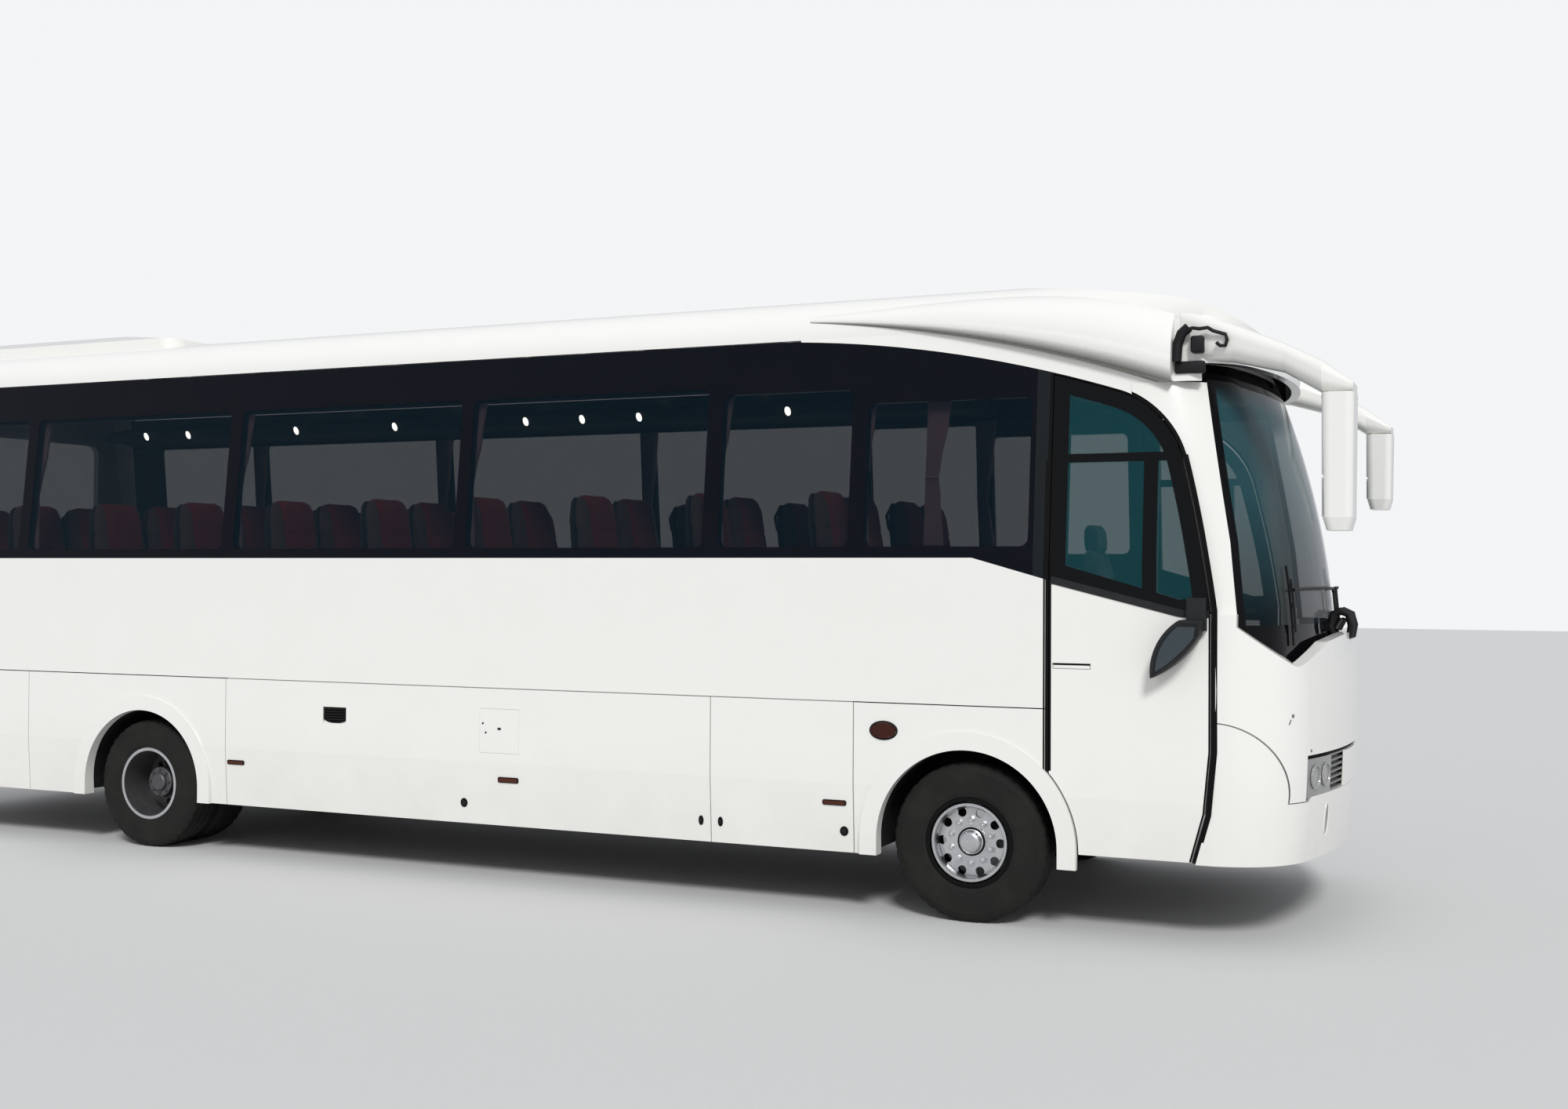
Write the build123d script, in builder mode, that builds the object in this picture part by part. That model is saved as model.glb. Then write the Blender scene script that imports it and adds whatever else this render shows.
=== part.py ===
from build123d import *
from math import cos, hypot, radians, sin, sqrt
import os

os.makedirs("parts", exist_ok=True)

# An intermediate touring coach in millimetres: x runs forward, y to the coach's left, z up from the road.
# Lengths along the coach are given ahead of the front axle, so distances behind it are negative.

# Overall layout
wheelbase = 5700
rear_overhang = 2760
mirror_reach = 1940
half_width = 1250
front_axle_x = (wheelbase + rear_overhang - mirror_reach) / 2
rear_axle_x = front_axle_x - wheelbase
rear_end_x = rear_axle_x - rear_overhang


def ahead(distance):
    return front_axle_x + distance


# Body section heights and widths
skirt_z = 330
tuck_z = 700
belt_z = 1145
sill_z = 1920
eaves_z = 3130
shoulder_z = 3372
roof_z = 3425
low_half_width = 1228
shoulder_y = 925
side_lean = 0.10
across = 2 * half_width

# Walls, glass and gaps
wall = 50
glass_thick = 7
panel_gap = 6
seam = 0.5
door_gap = 24
lid_gap = 8
seat_gap = 0.3
joint_depth = 20
hinge_strip = (14, 36)

# Wheels and axles
tyre_r = 421
tyre_width = 240
rim_r = 226
rim_wall = 10
wheel_y = 1070
twin_pitch = 275
arch_r = 492
lip_width = 98
lip_rise = 10
spindle_r = 32
bearing_play = 0.06
kingpin_inboard = 95
kingpin_r = 20

# Plan shape of the front end
front_r = 3400
corner_r = 450
nose_back_x = ahead(1100)
screen_back_x = ahead(700)

door_rear_x = ahead(436)
door_front_x = ahead(1272)
dome_x = ahead(-1000)
rear_cap_x = rear_end_x + 260
rear_corner_r = 220


def lean_y(z):
    return half_width - side_lean * max(0, z - sill_z)


def body_section(inset, bottom):
    """The coach's cross-section, drawn smaller by the inset."""
    eaves = (lean_y(eaves_z) - inset, eaves_z)
    cove = (lean_y(eaves_z) - 52 - 0.8 * inset, eaves_z + 160 - 0.6 * inset)
    shoulder = (shoulder_y - 0.3 * inset, shoulder_z - inset)
    crown = (0, roof_z - inset)
    with BuildSketch(Plane.XY) as section:
        with BuildLine():
            Polyline(
                (-low_half_width + inset, bottom),
                (low_half_width - inset, bottom),
                (half_width - inset, tuck_z),
                (half_width - inset, sill_z),
                eaves,
            )
            ThreePointArc(eaves, cove, shoulder)
            ThreePointArc(shoulder, crown, (-shoulder[0], shoulder[1]))
            ThreePointArc((-shoulder[0], shoulder[1]), (-cove[0], cove[1]), (-eaves[0], eaves[1]))
            Polyline(
                (-eaves[0], eaves[1]),
                (-half_width + inset, sill_z),
                (-half_width + inset, tuck_z),
                (-low_half_width + inset, bottom),
            )
        make_face()
    return section.sketch


def body_tube(x_from, x_to, outer_inset, inner_inset):
    """A length of the hollow body, open below."""
    with BuildPart() as tube:
        with BuildSketch(Plane.YZ.offset(x_from)):
            add(body_section(outer_inset, skirt_z))
        extrude(amount=x_to - x_from)
        with BuildSketch(Plane.YZ.offset(x_from)):
            add(body_section(inner_inset, skirt_z - 10))
        extrude(amount=x_to - x_from, mode=Mode.SUBTRACT)
    return tube.part


def body_prism(inset, x_from, x_to):
    """The body section filled and pushed along the coach."""
    with BuildPart() as prism:
        with BuildSketch(Plane.YZ.offset(x_from)):
            add(body_section(inset, skirt_z - 10))
        extrude(amount=x_to - x_from)
    return prism.part


def under_arch(grow):
    """Side view of all that lies below the white arch and behind the screen pillar."""
    lowest = skirt_z - 300
    top = eaves_z - 5 + grow
    arch = [
        (ahead(-1107), top),
        (ahead(-183), 3024 + grow),
        (ahead(800) + 0.3 * grow, 2775 + grow),
        (ahead(1010) + 0.8 * grow, 2630 + 0.6 * grow),
        (ahead(1130) + grow, 2390),
        (ahead(1205) + grow, 2060),
        (door_front_x + grow, 1655),
    ]
    with BuildSketch(Plane.XY) as view:
        with BuildLine():
            ThreePointArc(arch[0], arch[1], arch[2])
            ThreePointArc(arch[2], arch[3], arch[4])
            ThreePointArc(arch[4], arch[5], arch[6])
            Polyline(
                arch[6],
                (door_front_x + grow, 960),
                (ahead(1243) + grow, 651),
                (ahead(1175) + grow, 407),
                (ahead(1100) + grow, lowest),
                (rear_end_x - 500, lowest),
                (rear_end_x - 500, top),
                arch[0],
            )
        make_face()
    return view.sketch


def outline(*points):
    with BuildSketch(Plane.XY) as view:
        with BuildLine():
            Polyline(*points, close=True)
        make_face()
    return view.sketch


def span(x_range, z_range):
    return outline(
        (x_range[0], z_range[0]),
        (x_range[1], z_range[0]),
        (x_range[1], z_range[1]),
        (x_range[0], z_range[1]),
    )


def plan_outline(front_x, side, inset, back_x):
    """Plan view of the rounded front end: flat sides, tangent corners and a gently bowed front."""
    bow = front_r - inset
    corner = corner_r - inset
    edge_y = side - inset
    bow_x = front_x - inset - bow
    corner_x = bow_x + sqrt((bow - corner) ** 2 - (edge_y - corner) ** 2)
    reach = hypot(corner_x - bow_x, edge_y - corner)
    ux = (corner_x - bow_x) / reach
    uy = (edge_y - corner) / reach
    half = hypot(ux, 1 + uy)
    meet = (bow_x + bow * ux, bow * uy)
    turn = (corner_x + corner * ux / half, edge_y - corner + corner * (1 + uy) / half)
    with BuildSketch(Plane.XY) as plan:
        with BuildLine():
            Polyline((corner_x, -edge_y), (back_x, -edge_y), (back_x, edge_y), (corner_x, edge_y))
            ThreePointArc((corner_x, edge_y), turn, meet)
            ThreePointArc(meet, (bow_x + bow, 0), (meet[0], -meet[1]))
            ThreePointArc((meet[0], -meet[1]), (turn[0], -turn[1]), (corner_x, -edge_y))
        make_face()
    return plan.sketch


# Levels of the two front shapes; columns: height, front at the centre line, half width at the side
nose_levels = [
    (400, ahead(1785), 1236),
    (1000, ahead(1822), 1250),
    (1640, ahead(1796), 1250),
]
screen_levels = [
    (1300, ahead(1712), 1250),
    (2250, ahead(1600), 1217),
    (3060, ahead(1335), 1136),
]


def front_loft(levels, inset, back_x, spare):
    """The front end as one loft, made taller by the spare at each end."""
    with BuildPart() as shape:
        for index, (z, front_x, side) in enumerate(levels):
            with BuildSketch(Plane.XY.offset(z + spare * (index - 1))):
                add(plan_outline(front_x, side, inset, back_x))
        loft()
    return shape.part


def front_shell(levels, outer_inset, inner_inset, back_x):
    """The skin of the front end between two insets."""
    with BuildPart() as shell:
        add(front_loft(levels, outer_inset, back_x, 0))
        add(front_loft(levels, inner_inset, back_x - 20, 15), mode=Mode.SUBTRACT)
    return shell.part


def block(x_range, y_range, z_range):
    """A box given by its limits."""
    with BuildPart() as piece:
        with BuildSketch(Plane.XY.offset(z_range[0])):
            add(span(x_range, y_range))
        extrude(amount=z_range[1] - z_range[0])
    return piece.part


def both_sides(low, high):
    """The same y limits on the left and on the right."""
    return [(low, high), (-high, -low)]


def across_body(view):
    """A side view pushed right across the coach."""
    with BuildPart() as slab:
        with BuildSketch(Plane.XZ):
            add(view)
        extrude(amount=across, both=True)
    return slab.part


def one_side(view, side):
    """A side view pushed out from the centre line to the right (-1) or the left (1)."""
    with BuildPart() as slab:
        with BuildSketch(Plane.XZ):
            add(view)
        extrude(amount=-side * across)
    return slab.part


def rod(start, end, radius):
    """A round bar from one point to another."""
    axis = Vector(*end) - Vector(*start)
    with BuildPart() as bar:
        with BuildSketch(Plane(origin=start, z_dir=axis)):
            Circle(radius)
        extrude(amount=axis.length)
    return bar.part


main_tube = body_tube(rear_cap_x, ahead(1400), 0, wall)
glass_tube = body_tube(rear_cap_x, ahead(1400), 0, glass_thick)

# Window openings; columns: rear edge, front edge, drop of the head
window_bays = [
    (-7900, -6855, 0),
    (-6765, -5045, 0),
    (-4947, -3235, 0),
    (-3149, -1557, 0),
    (-1458, -674, 40),
    (-582, 330, 120),
]
window_foot = 60
window_head = 250
window_corner_r = 45


def window_openings():
    with BuildSketch(Plane.XY) as view:
        for low, high, drop in window_bays:
            foot_z = sill_z + window_foot
            head_z = eaves_z - window_head - drop
            with Locations((ahead((low + high) / 2), (head_z + foot_z) / 2)):
                RectangleRounded(high - low, head_z - foot_z, window_corner_r)
    return view.sketch


# Front edge of the fixed side, level with the rear edge of the doors
side_front_x = door_rear_x - door_gap / 2 + 2
door_sill = [(ahead(30), sill_z), (ahead(410), 1813), (side_front_x, 1808)]

with BuildPart() as window_frames:
    add(main_tube)
    add(across_body(under_arch(-seam)), mode=Mode.INTERSECT)
    band = outline(
        (rear_cap_x, sill_z),
        *door_sill,
        (side_front_x, eaves_z + 200),
        (rear_cap_x, eaves_z + 200),
    )
    add(across_body(band), mode=Mode.INTERSECT)
    add(across_body(window_openings()), mode=Mode.SUBTRACT)
window_frames.part.label = "window_frames"

# Lower panels round the wheels and behind them; columns: rear edge, front edge, axle
bay_front_x = ahead(-630)
bay_split_x = ahead(-1490)
bay_rear_x = rear_axle_x + 715
quarter_x = rear_axle_x - 1030
lower_spans = [
    (bay_front_x, side_front_x + panel_gap / 2, front_axle_x),
    (quarter_x, bay_rear_x, rear_axle_x),
    (rear_cap_x - panel_gap / 2, quarter_x, None),
]

# Fixed side panels between the belt line and the window sill, with the luggage doors' hinge strips
with BuildPart() as side_panels:
    add(main_tube)
    panel = outline(
        (rear_cap_x, belt_z + panel_gap / 2),
        (side_front_x, belt_z + panel_gap / 2),
        *reversed(door_sill),
        (rear_cap_x, sill_z),
    )
    add(across_body(panel), mode=Mode.INTERSECT)
    for low_y, high_y in both_sides(half_width - hinge_strip[1], half_width - hinge_strip[0]):
        strip_z = (belt_z - panel_gap / 2 + seat_gap, belt_z + panel_gap)
        add(block((bay_rear_x + panel_gap, bay_front_x - panel_gap), (low_y, high_y), strip_z))
side_panels.part.label = "side_panels"


def arch_shape(x, radius):
    """Side view of a wheel arch: a half circle on straight sides."""
    with BuildSketch(Plane.XY) as view:
        with Locations((x, tyre_r)):
            Circle(radius)
        with Locations((x, tyre_r / 2 - 100)):
            Rectangle(2 * radius, tyre_r + 200)
    return view.sketch


def lip_shape(x):
    """Side view of the raised lip round a wheel arch, cut off at the skirt."""
    with BuildSketch(Plane.XY) as view:
        add(arch_shape(x, arch_r + lip_width))
        add(arch_shape(x, arch_r), mode=Mode.SUBTRACT)
        add(span((x - 1000, x + 1000), (skirt_z, belt_z)), mode=Mode.INTERSECT)
    return view.sketch


with BuildPart() as lower_panels:
    for low_x, high_x, axle_x in lower_spans:
        edges = (low_x + panel_gap / 2, high_x - panel_gap / 2)
        add(main_tube & across_body(span(edges, (skirt_z, belt_z - panel_gap / 2))))
        if axle_x is not None:
            for side in (-1, 1):
                with BuildSketch(Plane.XZ.offset(-side * (half_width - wall / 2))):
                    add(lip_shape(axle_x))
                extrude(amount=-side * (wall / 2 + lip_rise))
    for axle_x in (front_axle_x, rear_axle_x):
        add(across_body(arch_shape(axle_x, arch_r + seam)), mode=Mode.SUBTRACT)
lower_panels.part.label = "lower_panels"

# Roof behind the dome
with BuildPart() as roof:
    add(body_tube(rear_cap_x, dome_x, 0, wall))
    add(across_body(span((rear_cap_x, dome_x), (eaves_z, roof_z + 100))), mode=Mode.INTERSECT)
roof.part.label = "roof"

# Front dome: cap, side arches and wings in one moulding
visor_x = ahead(1515)
visor_foot_z = 2930
# Top line of the cap, seen from the side: where it starts to fall, its bend, and the brow over the screen
cap_start = (ahead(-450), roof_z + 4)
cap_fall = (ahead(480), 3338)
cap_bend = (ahead(980), 3262)
cap_bow = (ahead(1290), 3165)
cap_brow = (visor_x - 25, 3040)
pillar_top_z = 2900
pillar_back_x = ahead(850)
dome_side_y = half_width - 60


def dome_profile(inset):
    """Side view of the cap, from the roof to the peak over the screen."""
    top_z = roof_z + 60
    start, fall, bend, bow = [(x, z - inset) for x, z in (cap_start, cap_fall, cap_bend, cap_bow)]
    brow = (cap_brow[0] - inset, cap_brow[1] - inset)
    foot = visor_foot_z - 500
    front_x = visor_x - inset
    with BuildSketch(Plane.XY) as view:
        with BuildLine():
            Polyline((front_x, foot), (dome_x - inset, foot), (dome_x - inset, top_z), (start[0], top_z), start)
            ThreePointArc(start, fall, bend)
            ThreePointArc(bend, bow, brow)
            Polyline(brow, (front_x, visor_foot_z), (front_x, foot))
        make_face()
    return view.sketch


def dome_solid(inset):
    """The cap filled solid: body section, side profile and rounded plan taken together."""
    with BuildPart() as cap:
        with BuildSketch(Plane.YZ.offset(dome_x)):
            add(body_section(inset, skirt_z - inset))
        extrude(amount=visor_x - dome_x)
        add(across_body(dome_profile(inset)), mode=Mode.INTERSECT)
        with BuildSketch(Plane.XY.offset(2000)):
            add(plan_outline(visor_x, dome_side_y, inset, dome_x - 100))
        extrude(amount=2000, mode=Mode.INTERSECT)
    return cap.part


# Wing sections; columns: ahead of the axle, foot height, top height, inner y, outer y
wing_sections = [
    (-950, 3225, 3262, 1085, 1119),
    (-187, 3122, 3300, 1010, 1176),
    (480, 2968, 3300, 950, 1222),
    (1060, 2778, 3215, 850, 1245),
]


def wing_section(foot, top, inner, outer):
    """One section of a wing: flat foot, rounded outer edge, top that runs into the cap."""
    tall = top - foot
    low = (outer - 0.2 * (outer - inner), foot)
    edge = (outer, foot + 0.35 * tall)
    with BuildSketch(Plane.XY) as face:
        with BuildLine():
            Polyline((inner, top), (inner, foot), low)
            ThreePointArc(low, (outer - 0.04 * (outer - inner), foot + 0.12 * tall), edge)
            ThreePointArc(edge, (outer - 0.22 * (outer - inner), foot + 0.8 * tall), (inner, top))
        make_face()
    return face.sketch


def wing():
    with BuildPart() as left:
        for x, foot, top, inner, outer in wing_sections:
            with BuildSketch(Plane.YZ.offset(ahead(x))):
                add(wing_section(foot, top, inner, outer))
        loft()
    return left.part


left_wing = wing()
with BuildPart() as front_dome:
    add(dome_solid(0))
    add(left_wing)
    add(left_wing.mirror(Plane.XZ))
    add(across_body(under_arch(seam)), mode=Mode.SUBTRACT)
    add(across_body(span((pillar_back_x, visor_x + 100), (0, pillar_top_z - 90))), mode=Mode.SUBTRACT)
    add(block((pillar_back_x, visor_x + 100), (-1130, 1130), (0, pillar_top_z)), mode=Mode.SUBTRACT)
    add(dome_solid(wall), mode=Mode.SUBTRACT)
front_dome.part.label = "front_dome"

# Nose moulding with the screen pillars
screen_foot = [(640, 1495), (1000, 1383), (1000, 2400)]
screen_edge = [(1382, 1578), (1340, 2000), (1285, 2330), (1189, 2905)]
screen_low_z = 1300
hood_top_z = 1532
pillar_foot_z = 1450
screen_head_z = 2905
mask_wall = 60
corner_y = 870
bumper_top_z = 725
strip_y = 945
grille_y = 600
grille_top_z = 936
slot_height = 20
fog_y = 640
fog_z = (530, 640)
fog_half = 62
# The bumper corner's curved joint, seen from the side: top rear, top front, bend and foot
joint_top_z = 1104
joint_start = (ahead(1283), joint_top_z)
joint_bend = (ahead(1495), 1020)
joint_foot = (ahead(1609), 706)
corner_back_x = ahead(1100)
below_z = 300
nose_x = (ahead(1400), ahead(1900))


def corner_view(grow):
    """Side view of the bumper corner, up to its curved joint."""
    with BuildSketch(Plane.XY) as view:
        with BuildLine():
            start = (joint_start[0], joint_start[1] + grow)
            bend = (joint_bend[0] + grow, joint_bend[1] + grow)
            foot = (joint_foot[0] + grow, joint_foot[1])
            Polyline(foot, (foot[0] + 16, below_z), (corner_back_x, below_z), (corner_back_x, start[1]), start)
            ThreePointArc(start, bend, foot)
        make_face()
    return view.sketch


def nose_corners(grow):
    """Both lower corners of the nose, round to the bumper's upright joints."""
    with BuildPart() as corners:
        add(across_body(corner_view(grow)))
        add(block(nose_x, (-across, across), (below_z, joint_foot[1] + grow)))
        middle = (-corner_y + grow, corner_y - grow)
        add(block((ahead(1000), nose_x[1]), middle, (below_z - 100, joint_top_z + 100)), mode=Mode.SUBTRACT)
    return corners.part


nose_shell = front_shell(nose_levels, 0, mask_wall, nose_back_x)
behind_door_line = across_body(under_arch(door_gap / 2))

# The screen's lower corner, cut along a line seen from the side
notch_top = (ahead(screen_edge[0][0]), screen_edge[0][1])
notch_foot = (ahead(1640), screen_foot[1][1])
far_x = ahead(2000)
corner_notch = across_body(outline(
    notch_top,
    (notch_top[0], 1800),
    (far_x, 1800),
    (far_x, notch_foot[1]),
    notch_foot,
)) - block((ahead(1000), far_x), (-screen_foot[1][0], screen_foot[1][0]), (1000, 2000))

with BuildPart() as front_mask:
    add(front_shell(nose_levels, 0, joint_depth, nose_back_x) - nose_corners(panel_gap / 2))
    inner_skin = front_shell(nose_levels, joint_depth, mask_wall, nose_back_x)
    add(inner_skin - nose_corners(seat_gap - panel_gap / 2))
    with BuildSketch(Plane.YZ.offset(nose_back_x)):
        with BuildLine():
            Polyline(*screen_foot, *[(-y, z) for y, z in reversed(screen_foot)])
            ThreePointArc((-screen_foot[0][0], screen_foot[0][1]), (0, hood_top_z), screen_foot[0])
        make_face()
    extrude(amount=1500, mode=Mode.SUBTRACT)
    add(corner_notch, mode=Mode.SUBTRACT)
    pillar_view = outline(
        (screen_back_x, pillar_foot_z),
        (notch_top[0], pillar_foot_z),
        *[(ahead(x), z) for x, z in screen_edge],
        (screen_back_x, screen_head_z),
    )
    pillar_range = across_body(span((pillar_back_x, visor_x), (pillar_foot_z, pillar_top_z - 90)))
    add(front_shell(screen_levels, 0, wall, screen_back_x) & across_body(pillar_view) & pillar_range)
    header = across_body(span((pillar_back_x, visor_x), (screen_head_z, screen_head_z + 75)))
    add((front_shell(screen_levels, glass_thick, wall, screen_back_x) & header) - front_dome.part)
    add(behind_door_line, mode=Mode.SUBTRACT)
    add(block((nose_x[0] + 100, nose_x[1]), (-strip_y, strip_y), (below_z, grille_top_z)), mode=Mode.SUBTRACT)
front_mask.part.label = "front_mask"

# Fog lamp openings in the bumper, upright ovals seen from the front
with BuildPart() as fog_cut:
    with BuildSketch(Plane.YZ.offset(nose_x[0] + 100)):
        with Locations((-fog_y, sum(fog_z) / 2), (fog_y, sum(fog_z) / 2)):
            SlotOverall(fog_z[1] - fog_z[0] + fog_half, fog_half, rotation=90)
    extrude(amount=400)
fog_openings = fog_cut.part

with BuildPart() as bumper_zones:
    add(nose_corners(-panel_gap / 2))
    add(block(nose_x, (-corner_y + panel_gap, corner_y - panel_gap), (below_z, bumper_top_z)))

with BuildPart() as front_bumper:
    add(nose_shell)
    add(behind_door_line, mode=Mode.SUBTRACT)
    add(bumper_zones.part, mode=Mode.INTERSECT)
    add(fog_openings, mode=Mode.SUBTRACT)
front_bumper.part.label = "front_bumper"

# Grille: a bowed frame with slots between its slats, behind the black slot under the hood edge
slat_count = 6
slat_height = 9
grille_border = 10
grille_inset = 14
lamp_top_z = grille_top_z - slot_height
grille_slot = (lamp_top_z - bumper_top_z - 2 * grille_border - (slat_count - 1) * slat_height) / slat_count
with BuildPart() as grille:
    add(front_shell(nose_levels, grille_inset, mask_wall, nose_back_x))
    add(block(nose_x, (-grille_y, grille_y), (bumper_top_z, lamp_top_z)), mode=Mode.INTERSECT)
    for row in range(slat_count):
        low_z = bumper_top_z + grille_border + row * (grille_slot + slat_height)
        slot_z = (low_z, low_z + grille_slot)
        add(block(nose_x, (-grille_y + 30, grille_y - 30), slot_z), mode=Mode.SUBTRACT)
grille.part.label = "grille"

# Headlamps at both ends of the grille, and the fog lamps
with BuildPart() as lamp_zones:
    for low_y, high_y in both_sides(grille_y, strip_y):
        add(block(nose_x, (low_y, high_y), (bumper_top_z, lamp_top_z)))

with BuildPart() as headlamps:
    lamp_shell = front_shell(nose_levels, 4, mask_wall, nose_back_x)
    add(lamp_shell & lamp_zones.part)
    add(lamp_shell & fog_openings)
headlamps.part.label = "headlamps"

with BuildPart() as windscreen:
    add(front_shell(screen_levels, 0, glass_thick, screen_back_x))
    add(across_body(outline(
        *[(ahead(x) + seam, z) for x, z in screen_edge],
        (far_x, screen_head_z),
        (far_x, screen_low_z),
        (notch_top[0] + 1, screen_low_z),
    )), mode=Mode.INTERSECT)
    add(front_mask.part, mode=Mode.SUBTRACT)
    add(front_dome.part, mode=Mode.SUBTRACT)
windscreen.part.label = "windscreen"

# Rear wall with its window, lamps and engine opening
rear_window = (930, 2120, 2900)
engine_lid_y = 800
engine_lid_z = (640, 1640)
rear_split_z = 600
tail_lamp_y = (860, 1000)
tail_lamp_z = (760, 1280)


def rear_solid(inset):
    with BuildPart() as cap:
        with BuildSketch(Plane.YZ.offset(rear_end_x + inset)):
            add(body_section(inset, skirt_z + 60 - 2 * inset))
        extrude(amount=rear_cap_x - rear_end_x - inset)
        with BuildSketch(Plane.XY):
            with BuildLine():
                corner = rear_corner_r - inset
                edge_y = half_width - inset
                back_x = rear_end_x + inset
                FilletPolyline(
                    (rear_cap_x, -edge_y), (back_x, -edge_y), (back_x, edge_y), (rear_cap_x, edge_y),
                    radius=corner,
                )
                Line((rear_cap_x, edge_y), (rear_cap_x, -edge_y))
            make_face()
        extrude(amount=4000, mode=Mode.INTERSECT)
    return cap.part


def rear_view(shape, depth):
    """A shape seen from behind, pushed forward into the rear wall."""
    with BuildPart() as slab:
        with BuildSketch(Plane.YZ.offset(rear_end_x)):
            add(shape)
        extrude(amount=depth)
    return slab.part


def rounded(width, z_range, radius, grow=0, y=0):
    with BuildSketch(Plane.XY) as view:
        with Locations((y, (z_range[0] + z_range[1]) / 2)):
            RectangleRounded(width + 2 * grow, z_range[1] - z_range[0] + 2 * grow, radius + grow)
    return view.sketch


def bumper_below(outer_z, inner_z):
    """All of the tail below the bumper's joint, higher or lower in the inner half of the wall."""
    tail_x = (rear_end_x - 10, rear_cap_x + 10)
    with BuildPart() as zone:
        add(block(tail_x, (-across, across), (0, outer_z)))
        add(rear_solid(joint_depth) & block(tail_x, (-across, across), (outer_z - 20, inner_z)))
    return zone.part


lamp_width = tail_lamp_y[1] - tail_lamp_y[0]
lamp_mid = (tail_lamp_y[1] + tail_lamp_y[0]) / 2
with BuildPart() as rear_wall:
    add(rear_solid(0))
    add(rear_solid(wall), mode=Mode.SUBTRACT)
    add(rear_view(rounded(2 * rear_window[0], rear_window[1:], 80), wall), mode=Mode.SUBTRACT)
    add(rear_view(rounded(2 * engine_lid_y, engine_lid_z, 60, lid_gap), wall), mode=Mode.SUBTRACT)
    for y in (-lamp_mid, lamp_mid):
        add(rear_view(rounded(lamp_width, tail_lamp_z, 40, 0, y), wall), mode=Mode.SUBTRACT)
    strip_x = (rear_end_x + hinge_strip[0], rear_end_x + hinge_strip[1])
    strip_reach = engine_lid_y - 100
    add(block(strip_x, (-strip_reach, strip_reach), (engine_lid_z[1] + seat_gap, engine_lid_z[1] + lid_gap + 5)))
    add(bumper_below(rear_split_z + panel_gap, rear_split_z + seat_gap), mode=Mode.SUBTRACT)
rear_wall.part.label = "rear_wall"

# Rear bumper under the engine lid, seated behind its joint
with BuildPart() as rear_bumper:
    add(rear_solid(0))
    add(rear_solid(wall), mode=Mode.SUBTRACT)
    add(bumper_below(rear_split_z, rear_split_z), mode=Mode.INTERSECT)
rear_bumper.part.label = "rear_bumper"

# Engine lid with pressed louvres
louvre_rows = 7
louvre_pitch = 70
louvre_height = 36
louvre_y = 560
louvre_x = (rear_end_x - 10, rear_end_x + 18)
with BuildPart() as engine_lid:
    add(rear_view(rounded(2 * engine_lid_y, engine_lid_z, 60), wall - 10))
    for row in range(louvre_rows):
        low_z = engine_lid_z[0] + 120 + row * louvre_pitch
        add(block(louvre_x, (-louvre_y, louvre_y), (low_z, low_z + louvre_height)), mode=Mode.SUBTRACT)
engine_lid.part.label = "engine_lid"

with BuildPart() as tail_lamps:
    for y in (-lamp_mid, lamp_mid):
        add(rear_view(rounded(lamp_width, tail_lamp_z, 40, 0, y), wall - 5))
tail_lamps.part.label = "tail_lamps"

# Doors at the front; the window openings leave a frame, a transom and a divider
door_foot_z = 409
door_frame = 78
transom = (2410, 2454)
divider = (922, 993)
# Lower and rear limits of the door's panes, ahead of the axle
pane_limits = [(531, 1880), (1108, 1712), (1241, 1720), (1400, 2900), (531, 2900)]
handle_x = (ahead(463), ahead(663))
handle_z = (1352, 1382)


def door_view():
    with BuildSketch(Plane.XY) as view:
        add(under_arch(-door_gap / 2))
        add(span((door_rear_x + door_gap / 2, ahead(1400)), (door_foot_z, eaves_z)), mode=Mode.INTERSECT)
        add(arch_shape(front_axle_x, arch_r + lip_width + lid_gap), mode=Mode.SUBTRACT)
    return view.sketch


def door_windows():
    with BuildSketch(Plane.XY) as view:
        add(under_arch(-door_gap / 2 - door_frame))
        add(outline(*[(ahead(x), z) for x, z in pane_limits]), mode=Mode.INTERSECT)
        add(span((ahead(500), ahead(1400)), transom), mode=Mode.SUBTRACT)
        add(span((ahead(divider[0]), ahead(divider[1])), (1600, transom[0])), mode=Mode.SUBTRACT)
    return view.sketch


with BuildPart() as driver_door:
    add(main_tube & one_side(door_view(), -1))
    add(one_side(door_windows(), -1), mode=Mode.SUBTRACT)
    add(block(handle_x, (-half_width - 5, -half_width + 12), handle_z), mode=Mode.SUBTRACT)
driver_door.part.label = "driver_door"

with BuildPart() as driver_door_glass:
    add(glass_tube & one_side(door_windows(), -1))
driver_door_glass.part.label = "driver_door_glass"

# Kerb mirror at the door's front corner
mirror_y = 1360
kerb_foot_x = (ahead(1150), ahead(1244))
kerb_foot_z = (1560, 1722)
leaf_tip = (ahead(985), 1322)
leaf_rear = (ahead(1125), 1612)
leaf_front = (ahead(1225), 1540)
leaf_stand_off = 20
with BuildPart() as kerb_mirror:
    add(block(kerb_foot_x, (-half_width - 45, -half_width), kerb_foot_z))
    with BuildSketch(Plane.XZ.offset(half_width + leaf_stand_off)):
        with BuildLine():
            ThreePointArc(leaf_tip, (ahead(1020), 1500), leaf_rear)
            Polyline(leaf_rear, (ahead(1236), leaf_rear[1]), leaf_front)
            ThreePointArc(leaf_front, (ahead(1120), 1410), leaf_tip)
        make_face()
    extrude(amount=mirror_y - half_width - leaf_stand_off)
kerb_mirror.part.label = "kerb_mirror"

low_pane = span((ahead(640), ahead(1150)), (760, 1560))
with BuildPart() as passenger_door:
    add(main_tube & one_side(door_view(), 1))
    add(one_side(door_windows(), 1), mode=Mode.SUBTRACT)
    add(one_side(low_pane, 1), mode=Mode.SUBTRACT)
passenger_door.part.label = "passenger_door"

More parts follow.
